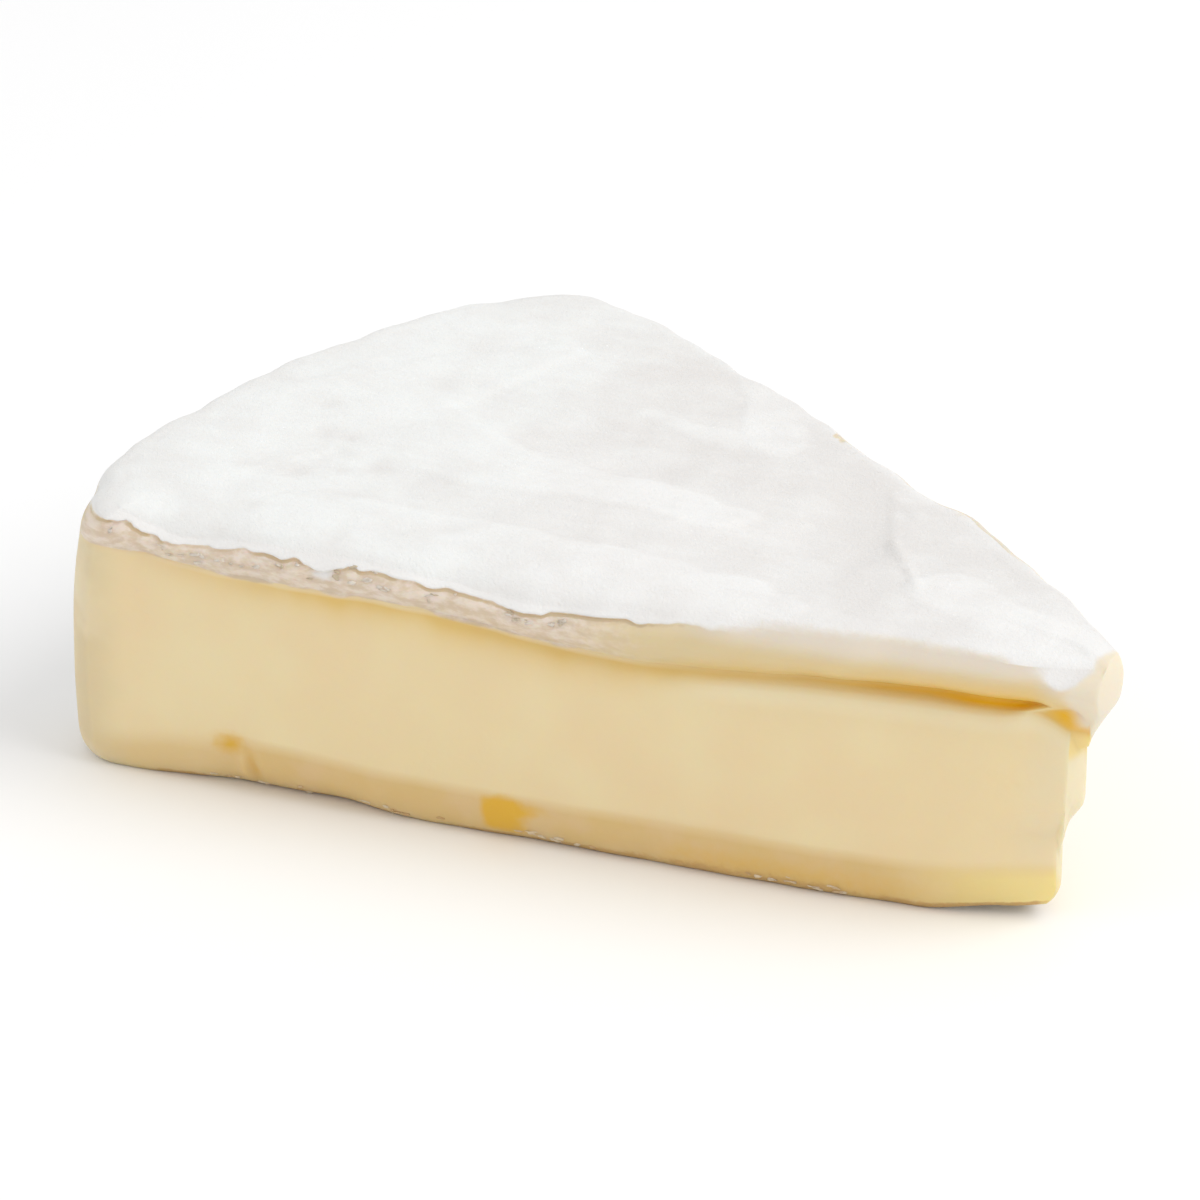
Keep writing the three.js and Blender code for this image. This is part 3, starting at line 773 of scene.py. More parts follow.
def top_masks(points, from_edge):
    x, y = points[:, 0], points[:, 1]
    t_front = (-x * INWARDS - y * ACROSS) / WHEEL_RADIUS
    at_front = smoothstep(x * ACROSS - y * INWARDS, 0, 3)
    fade = 3.2 + 2.6 * hump(t_front, 0.166, 0.045)
    worn = box_mask(t_front, *FRONT.worn) * at_front * (1 - smoothstep(from_edge, -0.3 * fade, fade))
    bare, cream = tip_bare(points)
    mould = (1 - bare) * (1 - bare_back(points, from_edge)) * (1 - worn)
    dents = sum(stroke(x, y, a, b, 1.3 * width) for a, b, width, _ in DENTS)
    dimples = sum(hump(np.hypot(x - a, y - b), 0, r) for a, b, r, _ in DIMPLES)
    between = 0.42 * (1 - in_lobe(x, y)) * smoothstep(x, -98, -84)
    by_back = 0.25 * smoothstep(x * ACROSS + y * INWARDS, -22, 2)
    thin = np.clip(between + by_back + 0.42 * dents + 0.4 * dimples, 0, 1) * smoothstep(-x, 4, 20)
    thin = lerp(0.25, thin, smoothstep(from_edge, 0, 2))
    cool = smoothstep(np.hypot(x, y) + 14 * noise(points, 18, 37, 2), 62, 92)
    made = {"mould": mould, "rind": (1 - cream) * (1 - at_front), "veil": at_front, "cream": cream}
    made |= {"thin": thin, "cool": cool}
    grain = np.stack([-x * INWARDS - y * ACROSS, x * ACROSS - y * INWARDS, np.zeros(len(x))], -1)
    return made, grain


MASKS = (
    "mould rind chalk lip veil cream ochre shoulder rust ground bevel yellow ripe "
    "crumb flaky fleck tip thin cool"
).split()


# ---- The wedge's mesh ----
def wedge_mesh(crust_step):
    groups = outline()
    rows = wall_rows()
    wall = np.stack([np.concatenate([g.point(zone, k, crust_step) for g in groups]) for zone, k in rows])
    cover, grain = wall_masks(groups, wall)
    parts = [(wall.reshape(-1, 3), cover, grain.reshape(-1, 3))]
    count = wall.shape[1]
    numbers = np.arange(len(rows) * count).reshape(len(rows), count)
    quads = [ring_faces(low, high) for low, high in zip(numbers, numbers[1:])]
    triangles = []
    first = numbers.size

    t, rind = joined(groups, "t"), joined(groups, "rind")
    key = np.where(rind > 0, 1, np.clip((t - FACE_T[0]) / (FACE_T[1] - FACE_T[0]), 0, 1))
    spine = np.stack([-WHEEL_RADIUS * INWARDS * lerp(*SPINE_SPAN, key), np.zeros(count)], -1)
    for edge_row, last, spacing, is_top in (
        (wall[-1], numbers[-1], TOP_SPACING, True),
        (wall[0], numbers[0], UNDERSIDE_SPACING, False),
    ):
        rings = inset_rings(edge_row, spine)
        middle, faces, nearest = filled(rings[-1], spacing)
        inner = np.hypot(*(middle[count:] - edge_row[nearest, :2]).T)
        for inset, plan in zip(INSETS, [*rings[:-1], middle]):
            own = first + np.arange(len(plan))
            quads.append(ring_faces(last, own[:count]) if is_top else ring_faces(own[:count], last))
            first, last = first + len(plan), own
            beyond = len(plan) > count
            edge_z = np.concatenate([edge_row[:, 2], edge_row[nearest, 2]]) if beyond else edge_row[:, 2]
            from_edge = np.concatenate([np.full(count, inset), inner if beyond else []])
            parts.append(cap_part(plan, edge_z, from_edge, is_top))
        triangles.append(last[faces] if is_top else last[faces][:, ::-1])

    places, covers, grains = zip(*parts)
    places = (curled(np.concatenate(places)) + WHEEL_CENTRE) * MM
    mesh = bpy.data.meshes.new(WEDGE)
    faces = np.concatenate(quads).tolist() + np.concatenate(triangles).tolist()
    mesh.from_pydata(places.tolist(), [], faces)
    for name in MASKS:
        values = np.concatenate([cover.get(name, np.zeros(len(cover["mould"]))) for cover in covers])
        mesh.attributes.new(name, "FLOAT", "POINT").data.foreach_set("value", values.astype(np.float32))
    grain = mesh.attributes.new("grain", "FLOAT_VECTOR", "POINT")
    grain.data.foreach_set("vector", (np.concatenate(grains) * MM).astype(np.float32).ravel())
    if mesh.validate():
        raise RuntimeError("the wedge's mesh isn't sound")
    return mesh


def cap_part(plan, edge_z, from_edge, is_top):
    """One ring or the middle of the top or the underside: its points, its masks and its grain."""
    x, y = plan[:, 0], plan[:, 1]
    if is_top:
        points = np.stack([x, y, top_z(x, y, edge_z, from_edge)], -1)
        return points, *top_masks(points, from_edge)
    points = np.stack([x, y, np.zeros(len(x))], -1)
    mould = np.clip(0.62 + 0.7 * noise(points, 11, 22, 3), 0, 1) * smoothstep(from_edge, 0.2, 1.5)
    ground = 0.7 * (1 - smoothstep(from_edge, 0.3, 1.6))
    return points, {"mould": mould, "rind": np.ones(len(x)), "ground": ground}, points


# ---- Nodes ----
def add(tree, kind, inputs=None, output=0, **settings):
    """Adds a node with its settings, gives its inputs their values or links, and returns one output."""
    node = tree.nodes.new(kind)
    for name, value in settings.items():
        setattr(node, name, value)
    for name, value in (inputs or {}).items():
        if isinstance(value, bpy.types.NodeSocket):
            tree.links.new(value, node.inputs[name])
        else:
            node.inputs[name].default_value = value
    return node.outputs[output] if node.outputs else None


def linear(colour):
    """The linear red, green, blue and alpha of an sRGB hex colour."""
    parts = [int(colour[i : i + 2], 16) / 255 for i in (1, 3, 5)]
    return [p / 12.92 if p <= 0.04045 else ((p + 0.055) / 1.055) ** 2.4 for p in parts] + [1.0]


def rgba(colour):
    return [*colour, 1.0]


def geometry_tree(name, inputs):
    """A Geometry Nodes tree with a geometry in and out and these named inputs."""
    tree = bpy.data.node_groups.new(name, "GeometryNodeTree")
    tree.interface.new_socket("Geometry", in_out="OUTPUT", socket_type="NodeSocketGeometry")
    for label, kind in {"Geometry": "Geometry", **inputs, "Material": "Material"}.items():
        tree.interface.new_socket(label, in_out="INPUT", socket_type=f"NodeSocket{kind}")
    return tree, add(tree, "NodeGroupInput").node.outputs


def finish_tree(tree, given, geometry, offset):
    """Moves the geometry's points, and hands it on smooth, as one real mesh, with its material."""
    moved = add(tree, "GeometryNodeSetPosition", {"Geometry": geometry, "Offset": offset})
    smooth = add(tree, "GeometryNodeSetShadeSmooth", {0: moved})
    real = add(tree, "GeometryNodeRealizeInstances", {0: smooth})
    dressed = add(tree, "GeometryNodeSetMaterial", {"Geometry": real, "Material": given["Material"]})
    add(tree, "NodeGroupOutput", {0: dressed})
    return tree


def run_tree(obj, tree, values):
    """Gives the object the tree's result as its plain mesh."""
    modifier = obj.modifiers.new(tree.name, "NODES")
    modifier.node_group = tree
    sockets = {s.name: s.identifier for s in tree.interface.items_tree if s.in_out == "INPUT"}
    for label, value in values.items():
        modifier[sockets[label]] = value
    depsgraph = bpy.context.evaluated_depsgraph_get()
    mesh = bpy.data.meshes.new_from_object(
        obj.evaluated_get(depsgraph), preserve_all_data_layers=True, depsgraph=depsgraph
    )
    obj.modifiers.remove(modifier)
    old, obj.data = obj.data, mesh
    bpy.data.meshes.remove(old)
    mesh.name = obj.name
    if not mesh.polygons:
        raise RuntimeError(f"{obj.name} came out empty")


# Each layer of fine relief: the mask that it keeps to, whether it follows the surface's own grain, the length
# and width of its features and its height, in millimetres, and how many finer octaves it holds.
RELIEF = {
    "Swell": (None, False, 16, 16, 0.14, 1),
    "Mould": ("mould", False, 4.2, 4.2, 0.13, 3),
    "Fuzz": ("mould", False, 1.3, 1.3, 0.05, 2),
    "Furrow": ("mould", True, 24, 4.2, 0.09, 2),
    "Stroke": ("mould", True, 6, 2.2, 0.06, 2),
    "Fibre": ("chalk", True, 2, 0.9, 0.1, 3),
    "Crumb": ("crumb", False, 2.3, 2.3, 0.55, 2),
}
SEED_STEP = 7.7  # sets the noise of each layer apart from the next one's


def relief_tree():
    sizes = ("Length", "Width", "Height")
    inputs = {f"{name} {size}": "Float" for name in RELIEF for size in sizes}
    tree, given = geometry_tree("cheese_relief", {**inputs, "Seed": "Float"})
    position = add(tree, "GeometryNodeInputPosition")
    grain = add(tree, "GeometryNodeInputNamedAttribute", {"Name": "grain"}, data_type="FLOAT_VECTOR")
    total = 0.0
    for number, (name, (mask, follows, *_, detail)) in enumerate(RELIEF.items()):
        length, width, height = (given[f"{name} {size}"] for size in sizes)
        size = add(tree, "ShaderNodeCombineXYZ", {0: length, 1: width, 2: width})
        place = {0: grain if follows else position, 1: size}
        place = add(tree, "ShaderNodeVectorMath", place, operation="DIVIDE")
        shift = add(tree, "ShaderNodeMath", {0: given["Seed"], 1: SEED_STEP * number}, operation="ADD")
        bumps = {"Vector": place, "W": shift, "Scale": 1.0, "Detail": float(detail)}
        bumps = add(tree, "ShaderNodeTexNoise", bumps, noise_dimensions="4D")
        layer = add(tree, "ShaderNodeMath", {0: bumps, 1: 0.5}, operation="SUBTRACT")
        share = 1.0
        if mask:
            share = add(tree, "GeometryNodeInputNamedAttribute", {"Name": mask}, data_type="FLOAT")
        for factor in (2.0, height, share):
            layer = add(tree, "ShaderNodeMath", {0: layer, 1: factor}, operation="MULTIPLY")
        total = add(tree, "ShaderNodeMath", {0: total, 1: layer}, operation="ADD")
    normal = add(tree, "GeometryNodeInputNormal")
    offset = add(tree, "ShaderNodeVectorMath", {0: normal, "Scale": total}, operation="SCALE")
    return finish_tree(tree, given, given["Geometry"], offset)


FLAKE_TURN = 0.4  # how far a flake may turn from the level, in radians
FLAKE_SCALE = ((0.35, 0.45, 0.5), (1.5, 1.4, 1.3))  # the smallest and the largest, as shares of the sizes
FLAKE_ROUGHNESS = 1.1  # as a share of the width


def flake_tree():
    """Small flat flakes, scattered over the part of a surface that a mask names, and lying along it."""
    sizes = dict.fromkeys(("Density", "Length", "Width", "Thickness", "Roughness"), "Float")
    tree, given = geometry_tree("cheese_flakes", {"Mask": "String", **sizes, "Seed": "Int"})
    seed = given["Seed"]
    mask = add(tree, "GeometryNodeInputNamedAttribute", {"Name": given["Mask"]}, data_type="FLOAT")
    density = add(tree, "ShaderNodeMath", {0: mask, 1: given["Density"]}, operation="MULTIPLY")
    spread = {"Mesh": given["Geometry"], "Density": density, "Seed": seed}
    points = add(tree, "GeometryNodeDistributePointsOnFaces", spread)
    normal = points.node.outputs["Normal"]
    level = add(tree, "ShaderNodeVectorMath", {0: (0, 0, 1), 1: normal}, operation="CROSS_PRODUCT")
    flat = add(tree, "FunctionNodeAlignRotationToVector", {"Vector": level}, axis="X")
    flat = {"Rotation": flat, "Vector": normal}
    flat = add(tree, "FunctionNodeAlignRotationToVector", flat, axis="Z", pivot_axis="X")
    angle = {2: -FLAKE_TURN, 3: FLAKE_TURN, "Seed": seed}
    angle = add(tree, "FunctionNodeRandomValue", angle, output=1, data_type="FLOAT")
    turn = add(tree, "FunctionNodeAxisAngleToRotation", {"Axis": (0, 0, 1), "Angle": angle})
    turned = {"Rotation": flat, "Rotate By": turn}
    turned = add(tree, "FunctionNodeRotateRotation", turned, rotation_space="LOCAL")
    scale = {0: FLAKE_SCALE[0], 1: FLAKE_SCALE[1], "Seed": seed}
    scale = add(tree, "FunctionNodeRandomValue", scale, data_type="FLOAT_VECTOR")
    size = add(tree, "ShaderNodeCombineXYZ", {0: given["Length"], 1: given["Width"], 2: given["Thickness"]})
    ball = add(tree, "GeometryNodeMeshUVSphere", {"Segments": 9, "Rings": 5, "Radius": 0.5})
    flake = add(tree, "GeometryNodeTransform", {"Geometry": ball, "Scale": size})
    placed = {"Points": points, "Instance": flake, "Rotation": turned, "Scale": scale}
    placed = add(tree, "GeometryNodeInstanceOnPoints", placed)
    shade = add(tree, "FunctionNodeRandomValue", {"Seed": 5}, output=1, data_type="FLOAT")
    toned = {"Geometry": placed, "Name": "shade", "Value": shade}
    toned = add(tree, "GeometryNodeStoreNamedAttribute", toned, data_type="FLOAT", domain="INSTANCE")
    real = add(tree, "GeometryNodeRealizeInstances", {0: toned})
    position = add(tree, "GeometryNodeInputPosition")
    place = add(tree, "ShaderNodeVectorMath", {0: position, 1: size}, operation="DIVIDE")
    bumps = add(tree, "ShaderNodeTexNoise", {"Vector": place, "Scale": 1.6, "Detail": 1.0}, output=1)
    centred = add(tree, "ShaderNodeVectorMath", {0: bumps, 1: (0.5, 0.5, 0.5)}, operation="SUBTRACT")
    amount = add(tree, "ShaderNodeMath", {0: given["Width"], 1: given["Roughness"]}, operation="MULTIPLY")
    offset = add(tree, "ShaderNodeVectorMath", {0: centred, "Scale": amount}, operation="SCALE")
    return finish_tree(tree, given, real, offset)


# ---- Finishes ----
def new_material(name):
    material = bpy.data.materials.new(name)
    material.use_nodes = True
    material.node_tree.nodes.clear()
    return material, material.node_tree


def layered(tree, base, layers):
    """Colours laid over one another, each where its mask is."""
    for mask, colour in layers:
        base = add(tree, "ShaderNodeMix", {0: mask, 6: base, 7: colour}, output=2, data_type="RGBA")
    return base


def pattern(tree, place, size, detail=2.0, roughness=0.5):
    """Noise from 0 to 1 with features of a size in millimetres."""
    inputs = {"Vector": place, "Scale": 1 / (size * MM), "Detail": detail, "Roughness": roughness}
    return add(tree, "ShaderNodeTexNoise", inputs)


def scaled(tree, mask, low, high, kind="LINEAR"):
    """The stretch of a mask from low to high, spread from 0 to 1."""
    return add(tree, "ShaderNodeMapRange", {0: mask, 1: low, 2: high}, interpolation_type=kind)


def broken(tree, mask, noise_, amount, low, high):
    """A mask whose edge is broken up by noise."""
    pushed = add(tree, "ShaderNodeMath", {0: noise_, 1: 0.5}, operation="SUBTRACT")
    pushed = add(tree, "ShaderNodeMath", {0: pushed, 1: amount, 2: mask}, operation="MULTIPLY_ADD")
    return scaled(tree, pushed, low, high, "SMOOTHSTEP")


def cheese_material(sizes):
    """Soft-ripened cheese. The paste is a moist, smooth fat that light enters, so it looks waxy and glows at its
    thin edges. The rind is a dry, matt felt of mould, white where thick, grey where thin and tan where bare."""
    material, tree = new_material("soft_ripened_cheese")
    place = add(tree, "ShaderNodeTexCoord", output="Object")
    mask = {name: add(tree, "ShaderNodeAttribute", output="Fac", attribute_name=name) for name in MASKS}
    grain = add(tree, "ShaderNodeAttribute", output="Vector", attribute_name="grain")
    fibres, strokes = (
        add(tree, "ShaderNodeVectorMath", {0: grain, 1: (1 / stretch, 1, 1)}, operation="MULTIPLY")
        for stretch in (2.2, 3.5)
    )

    # Paste: broad clouds of a slightly rosier and a slightly paler tone.
    clouds = broken(tree, pattern(tree, place, 26, 1.0), 0.5, 0.0, 0.3, 0.7)
    wisps = broken(tree, pattern(tree, place, 12, 1.0), 0.5, 0.0, 0.4, 0.8)
    paste = layered(tree, rgba(sizes.paste), [(clouds, linear(PASTE_ROSY)), (wisps, linear(PASTE_PALE))])

    # The layer under the torn crust: firm and chalky, drawn out in pale and tan streaks along the cut.
    streaks = broken(tree, pattern(tree, fibres, 1.0, 3.0, 0.6), 0.5, 0.0, 0.36, 0.66)
    chalk = layered(tree, rgba(sizes.chalk), [(streaks, linear(CHALK_PALE))])

    # The bevel along the foot and the bare rind: mottled in two tones of tan. The bevel's tan is darker than the
    # paste, partly from riper paste and partly painted shade of the bevel that faces down.
    fine = pattern(tree, place, 1.1, 3.0, 0.6)
    mottled = broken(tree, pattern(tree, place, 7, 3.0), 0.5, 0.0, 0.4, 0.7)
    bevel = layered(tree, linear(BEVEL_RIPE_AND_SHADED), [(mottled, linear(BEVEL_TAN_RIPE_AND_SHADED))])
    tan = layered(tree, rgba(sizes.rind), [(mottled, linear(RIND_PALE))])

    # The mould: thick and white, or thin and grey, in soft patches and in strokes along the wedge.
    strokes = pattern(tree, strokes, 3.6, 3.0, 0.6)
    blotches = pattern(tree, place, 8, 4.0, 0.6)
    thin = add(tree, "ShaderNodeMath", {0: strokes, 1: 0.8, 2: -1.0}, operation="MULTIPLY_ADD")
    thin = add(tree, "ShaderNodeMath", {0: blotches, 1: 1.5, 2: thin}, operation="MULTIPLY_ADD")
    thin = add(tree, "ShaderNodeMath", {0: thin, 1: mask["thin"]}, operation="ADD", use_clamp=True)
    bloom = layered(tree, rgba(sizes.mould), [(mask["cool"], linear(MOULD_COOL)), (thin, linear(MOULD_GREY))])
    layers = [
        # A painted highlight on the paste's shoulder under the crease.
        (mask["shoulder"], linear(SHOULDER_HIGHLIGHT)),
        (mask["tip"], linear(TIP_PASTE_COLOUR)),
        (mask["bevel"], bevel),
        (mask["yellow"], linear(BEVEL_YELLOW)),
        (mask["lip"], linear(LIP)),
        (mask["veil"], linear(VEIL)),
        (broken(tree, mask["chalk"], fine, 0.5, 0.2, 0.8), chalk),
        # The two ochre layers are painted shade and warm bounce light in the crease and under the band's
        # overhang.
        (scaled(tree, mask["ochre"], 0, 0.55), rgba(sizes.ochre)),
        (scaled(tree, mask["ochre"], 0.5, 0.95), linear(CREASE_SHADE_DEEP)),
        (broken(tree, mask["ripe"], fine, 0.3, 0.05, 0.95), rgba(sizes.ripe)),
        (mask["cream"], linear(CREAM)),
        # The line under the torn crust: partly tanned rind, partly painted shadow under the crust's lip.
        (broken(tree, mask["rust"], fine, 0.8, 0.3, 0.8), linear(TORN_EDGE_TAN_AND_SHADE)),
        (broken(tree, mask["ground"], fine, 0.8, 0.3, 0.8), linear(GROUND)),
        (mask["rind"], tan),
    ]
    white = broken(tree, mask["mould"], fine, 0.35, 0.12, 0.9)

    inputs = {"Strength": 0.25, "Distance": 0.0002, "Height": pattern(tree, place, 0.9, 3.0)}
    paste_bump = add(tree, "ShaderNodeBump", inputs)
    inputs = {"Strength": 0.5, "Distance": 0.0004, "Height": pattern(tree, place, 0.5, 4.0, 0.7)}
    felt_bump = add(tree, "ShaderNodeBump", inputs)
    inputs = {"Base Color": layered(tree, paste, layers), "Roughness": 0.5, "IOR": 1.45, "Normal": paste_bump}
    inputs |= {"Subsurface Weight": 0.4, "Subsurface Radius": (1.0, 0.6, 0.25), "Subsurface Scale": 0.004}
    soft = add(tree, "ShaderNodeBsdfPrincipled", inputs)
    inputs = {"Base Color": bloom, "Roughness": 0.95, "Specular IOR Level": 0.3, "Normal": felt_bump}
    inputs |= {"Subsurface Weight": 0.2, "Subsurface Radius": (1.0, 0.9, 0.8), "Subsurface Scale": 0.0015}
    felt = add(tree, "ShaderNodeBsdfPrincipled", inputs | {"Sheen Weight": 0.15, "Sheen Roughness": 0.6})
    shader = add(tree, "ShaderNodeMixShader", {0: white, 1: soft, 2: felt})
    add(tree, "ShaderNodeOutputMaterial", {"Surface": shader})
    return material


def flake_material(name, pale, dark):
    """A shred of rind: dry and matt, some of it still white and some tanned."""
    material, tree = new_material(name)
    shade = add(tree, "ShaderNodeAttribute", output="Fac", attribute_name="shade")
    place = add(tree, "ShaderNodeTexCoord", output="Object")
    toned = broken(tree, shade, pattern(tree, place, 0.6, 2.0), 0.5, 0.35, 0.9)
    inputs = {"Base Color": layered(tree, linear(pale), [(toned, linear(dark))]), "Roughness": 0.85}
    inputs |= {"Subsurface Weight": 0.3, "Subsurface Radius": (1.0, 0.8, 0.6), "Subsurface Scale": 0.001}
    add(tree, "ShaderNodeOutputMaterial", {"Surface": add(tree, "ShaderNodeBsdfPrincipled", inputs)})
    return material


PASTE = "#e9d6a9"
PASTE_ROSY = "#e9d3a7"
PASTE_PALE = "#ead9ad"
# A painted highlight for the paste's shoulder under the crease.
SHOULDER_HIGHLIGHT = "#eddeb8"
CHALK = "#d3c1aa"
CHALK_PALE = "#e3d6c8"
LIP = "#dac89e"
VEIL = "#d9cfbf"
# Painted shade and warm bounce light for the crease and under the band's overhang.
CREASE_SHADE = "#e0bd6e"
CREASE_SHADE_DEEP = "#eab600"
RIPE = "#e0b138"
# The bevel's two tans: riper paste, darkened further by painted shade where the bevel faces down.
BEVEL_RIPE_AND_SHADED = "#d9bb80"
BEVEL_TAN_RIPE_AND_SHADED = "#dbbe8c"
BEVEL_YELLOW = "#ecd993"
TIP_PASTE_COLOUR = "#e3d7b5"
CREAM = "#e3d9c4"
# Partly tanned rind, partly painted shadow under the torn crust's lip.
TORN_EDGE_TAN_AND_SHADE = "#c9b594"
GROUND = "#cba468"
RIND_TAN = "#ccbb99"
RIND_PALE = "#e6dac2"
MOULD = "#f0efed"
MOULD_COOL = "#eff0ee"
MOULD_GREY = "#e4e1de"
FLAKE_COLOURS = ("#e6d9c8", "#d0bda0")
SHRED_COLOURS = ("#e3cfb0", "#cba575")


# ---- What a user may change ----
def a_length(name, description, millimetres):
    return bpy.props.FloatProperty(
        name=name, description=description, default=millimetres * MM, min=0, unit="LENGTH", precision=5
    )


def a_colour(name, description, colour):
    return bpy.props.FloatVectorProperty(
        name=name, description=description, default=linear(colour)[:3], min=0, max=1, subtype="COLOR"
    )


class CheeseSettings(bpy.types.PropertyGroup):
    """The sizes and colours that a user may change."""

    crust_step: a_length("Crust thickness", "How far the white crust stands out over the torn edge", 0.55)
    flake_length: a_length("Flake length", "Of the flakes that hang under the torn crust", 1.1)
    shred_length: a_length("Shred length", "Of the shreds of rind along the foot of the cut", 1.3)
    relief: bpy.props.FloatProperty(
        name="Relief", description="The height of all the fine relief", default=1, min=0, subtype="FACTOR"
    )
    seed: bpy.props.IntProperty(name="Seed", description="Changes the fine relief and the flakes", default=3)
    paste: a_colour("Paste", "The soft inside of the cheese", PASTE)
    chalk: a_colour("Chalk", "The firm layer under the torn crust", CHALK)
    # This colour is painted shade and warm bounce light along the crease, not a layer of the paste.
    ochre: a_colour("Ochre", "The ripe layer along the crease", CREASE_SHADE)
    ripe: a_colour("Overripe", "The spots on the front cut face", RIPE)
    rind: a_colour("Bare rind", "Where the mould has rubbed off the rim and the underside", RIND_TAN)
    mould: a_colour("Mould", "The white felt on the rind", MOULD)


def settings(context):
    return context.scene.cheese_settings


def new_piece(name, mesh):
    obj = bpy.data.objects.new(name, mesh)
    bpy.context.scene.collection.objects.link(obj)
    return obj


def keep_above_ground(mesh):
    """Presses flat what the relief has pushed into the ground."""
    places = np.empty(3 * len(mesh.vertices), np.float32)
    mesh.vertices.foreach_get("co", places)
    places[2::3] = np.maximum(places[2::3], 0)
    mesh.vertices.foreach_set("co", places)
    mesh.update()


def belongs(obj):
    """The piece rides on the wedge's body."""
    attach(obj, BODY)


class CHEESE_OT_wedge(bpy.types.Operator):
    """Make the wedge with its crust, crease, bevel and fine relief"""

    bl_idname = "cheese.wedge"
    bl_label = "Wedge"

    def execute(self, context):
        sizes = settings(context)
        obj = new_piece(WEDGE, wedge_mesh(sizes.crust_step / MM))
        values = {"Seed": float(sizes.seed), "Material": cheese_material(sizes)}
        for name, (_, _, length, width, height, _) in RELIEF.items():
            values[f"{name} Length"] = length * MM
            values[f"{name} Width"] = width * MM
            values[f"{name} Height"] = height * sizes.relief * MM
        run_tree(obj, relief_tree(), values)
        keep_above_ground(obj.data)
        belongs(obj)
        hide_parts(NODE)
        return {"FINISHED"}


class CHEESE_OT_flakes(bpy.types.Operator):
    """Scatter flakes of mould under the torn crust, and shreds of rind along the foot of the cut"""

    bl_idname = "cheese.flakes"
    bl_label = "Flakes"

    def execute(self, context):
        wedge = bpy.data.objects[WEDGE]
        sizes = settings(context)
        tree = flake_tree()
        # Each kind: mask, density per square metre, length, width and thickness as shares of it, colours, seed.
        kinds = [
            ("crust_flakes", "flaky", 0.55e6, sizes.flake_length, (0.42, 0.15), FLAKE_COLOURS, 1),
            ("foot_shreds", "fleck", 0.9e6, sizes.shred_length, (0.38, 0.23), SHRED_COLOURS, 6),
        ]
        for name, mask, density, length, (width, thickness), colours, seed in kinds:
            obj = new_piece(name, wedge.data.copy())
            values = {
                "Mask": mask,
                "Density": density,
                "Length": length,
                "Width": length * width,
                "Thickness": length * thickness,
                "Roughness": FLAKE_ROUGHNESS,
                "Seed": sizes.seed + seed,
                "Material": flake_material(name, *colours),
            }
            run_tree(obj, tree, values)
            keep_above_ground(obj.data)
            belongs(obj)
        return {"FINISHED"}


# ---- Stage ----
CAMERA_AZIMUTH = math.radians(40.4)
CAMERA_HEIGHT = math.radians(25.4)
CAMERA_DISTANCE = 0.6
CAMERA_TARGET = (Vector(WHEEL_CENTRE) + Vector((-72.901, 2.896, 17.45))) * MM
CAMERA_LENS = 149.43
FLOOR = "#fbfbfb"
FLOOR_SIZE = 4.0
FLOOR_DROP = 0.00005  # the floor lies this much under the wedge, so that the two don't coincide
WORLD_LIGHT = 0.76
# Lamps: where they are round the wedge and above it, in degrees, how far off, how wide, and their power.
LAMPS = {"window": (115, 48, 1.4, 1.2, 9.0), "fill": (-35, 35, 1.5, 1.4, 2.0)}


def away(azimuth, height):
    """The direction from the wedge to what stands round it and above it at these angles."""
    level = math.cos(height)
    return Vector((math.sin(azimuth) * level, -math.cos(azimuth) * level, math.sin(height)))


def stage_material(name, colour):
    """Matt paper: an even, pale ground without a highlight."""
    material, tree = new_material(name)
    shader = add(tree, "ShaderNodeBsdfPrincipled", {"Base Color": linear(colour), "Roughness": 0.9})
    add(tree, "ShaderNodeOutputMaterial", {"Surface": shader})
    return material


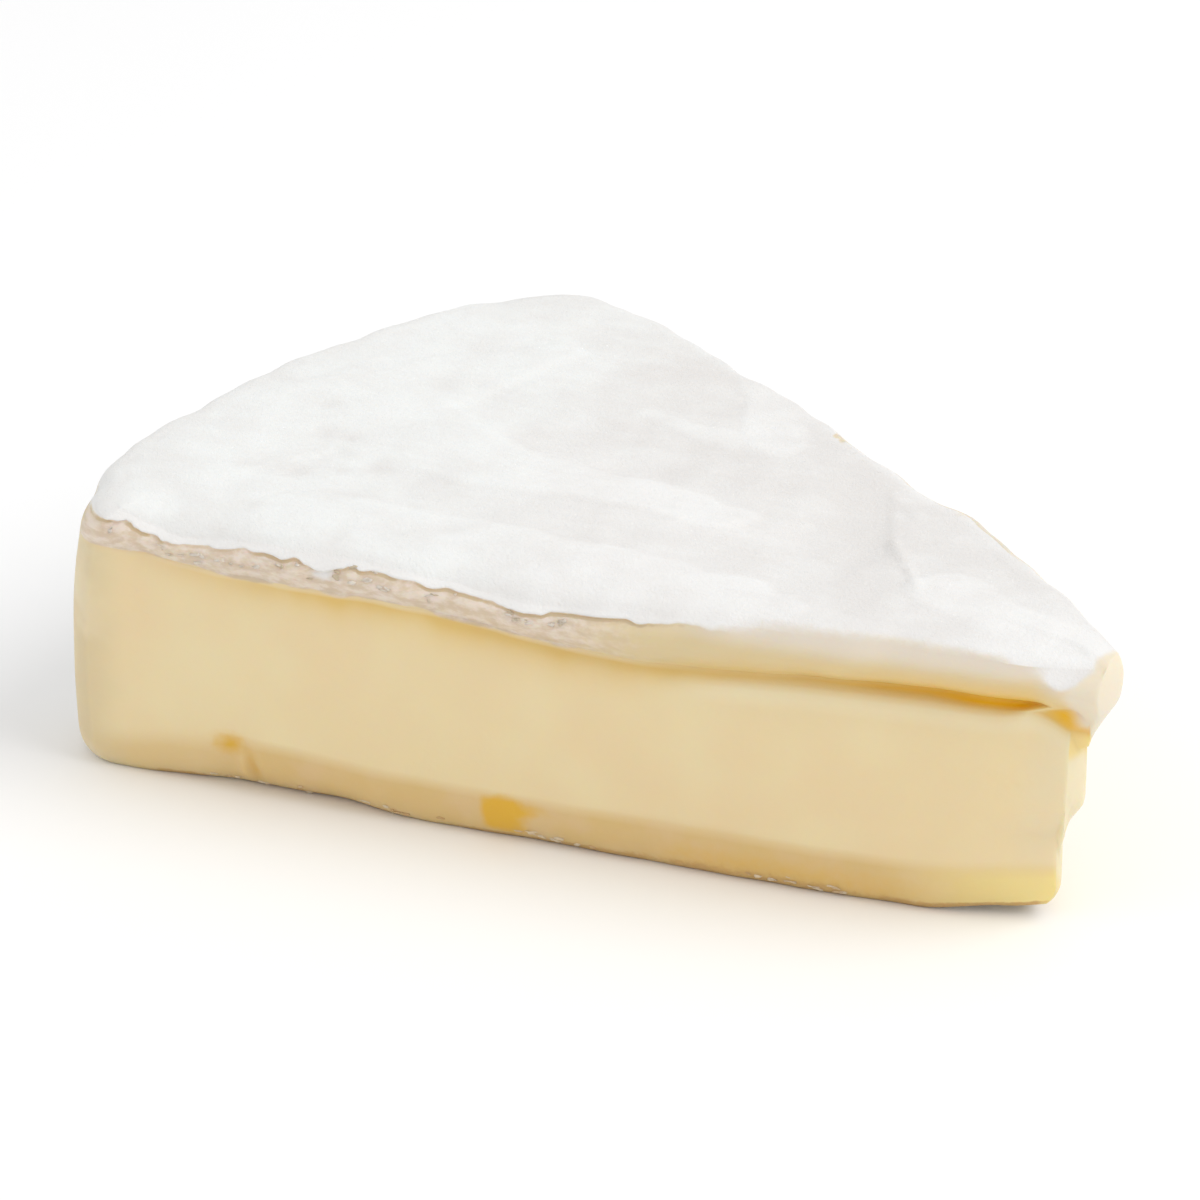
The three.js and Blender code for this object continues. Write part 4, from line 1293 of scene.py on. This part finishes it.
class CHEESE_OT_stage(bpy.types.Operator):
    """Set up the floor, the soft light and the camera"""

    bl_idname = "cheese.stage"
    bl_label = "Stage"

    def execute(self, context):
        scene = context.scene
        half = FLOOR_SIZE / 2
        low = CAD_BOX[0].z - FLOOR_DROP
        mesh = bpy.data.meshes.new("floor")
        corners = [(-half, -half, low), (half, -half, low), (half, half, low), (-half, half, low)]
        mesh.from_pydata(corners, [], [(0, 1, 2, 3)])
        mesh.materials.append(stage_material("pale_paper", FLOOR))
        new_piece("floor", mesh)

        world = bpy.data.worlds.new("soft_daylight")
        world.use_nodes = True
        background = world.node_tree.nodes["Background"]
        background.inputs["Color"].default_value = (1, 1, 1, 1)
        background.inputs["Strength"].default_value = WORLD_LIGHT
        scene.world = world

        for name, (azimuth, height, distance, size, power) in LAMPS.items():
            lamp = bpy.data.lights.new(name, "AREA")
            lamp.shape, lamp.size, lamp.energy = "DISK", size, power
            obj = new_piece(name, lamp)
            direction = away(math.radians(azimuth), math.radians(height))
            obj.location = direction * distance
            obj.rotation_euler = direction.to_track_quat("Z", "Y").to_euler()

        camera = bpy.data.cameras.new("camera")
        camera.lens = CAMERA_LENS
        obj = new_piece("camera", camera)
        back = away(CAMERA_AZIMUTH, CAMERA_HEIGHT)
        obj.location = CAMERA_TARGET + back * CAMERA_DISTANCE
        obj.rotation_euler = back.to_track_quat("Z", "Y").to_euler()
        scene.camera = obj
        scene.view_settings.view_transform = "Standard"
        return {"FINISHED"}


class CHEESE_PT_panel(bpy.types.Panel):
    bl_label = "Wedge of cheese"
    bl_space_type = "VIEW_3D"
    bl_region_type = "UI"
    bl_category = "Cheese"

    def draw(self, context):
        sizes = settings(context)
        for name in CheeseSettings.__annotations__:
            self.layout.prop(sizes, name)
        for operator in OPERATORS:
            self.layout.operator(operator.bl_idname)


OPERATORS = (CHEESE_OT_wedge, CHEESE_OT_flakes, CHEESE_OT_stage)
CLASSES = (CheeseSettings, *OPERATORS, CHEESE_PT_panel)


def register():
    for each in CLASSES:
        bpy.utils.register_class(each)
    bpy.types.Scene.cheese_settings = bpy.props.PointerProperty(type=CheeseSettings)


def unregister():
    del bpy.types.Scene.cheese_settings
    for each in reversed(CLASSES):
        bpy.utils.unregister_class(each)


def main():
    register()
    bpy.ops.cheese.wedge()
    bpy.ops.cheese.flakes()
    bpy.ops.cheese.stage()


if __name__ == "__main__":
    main()
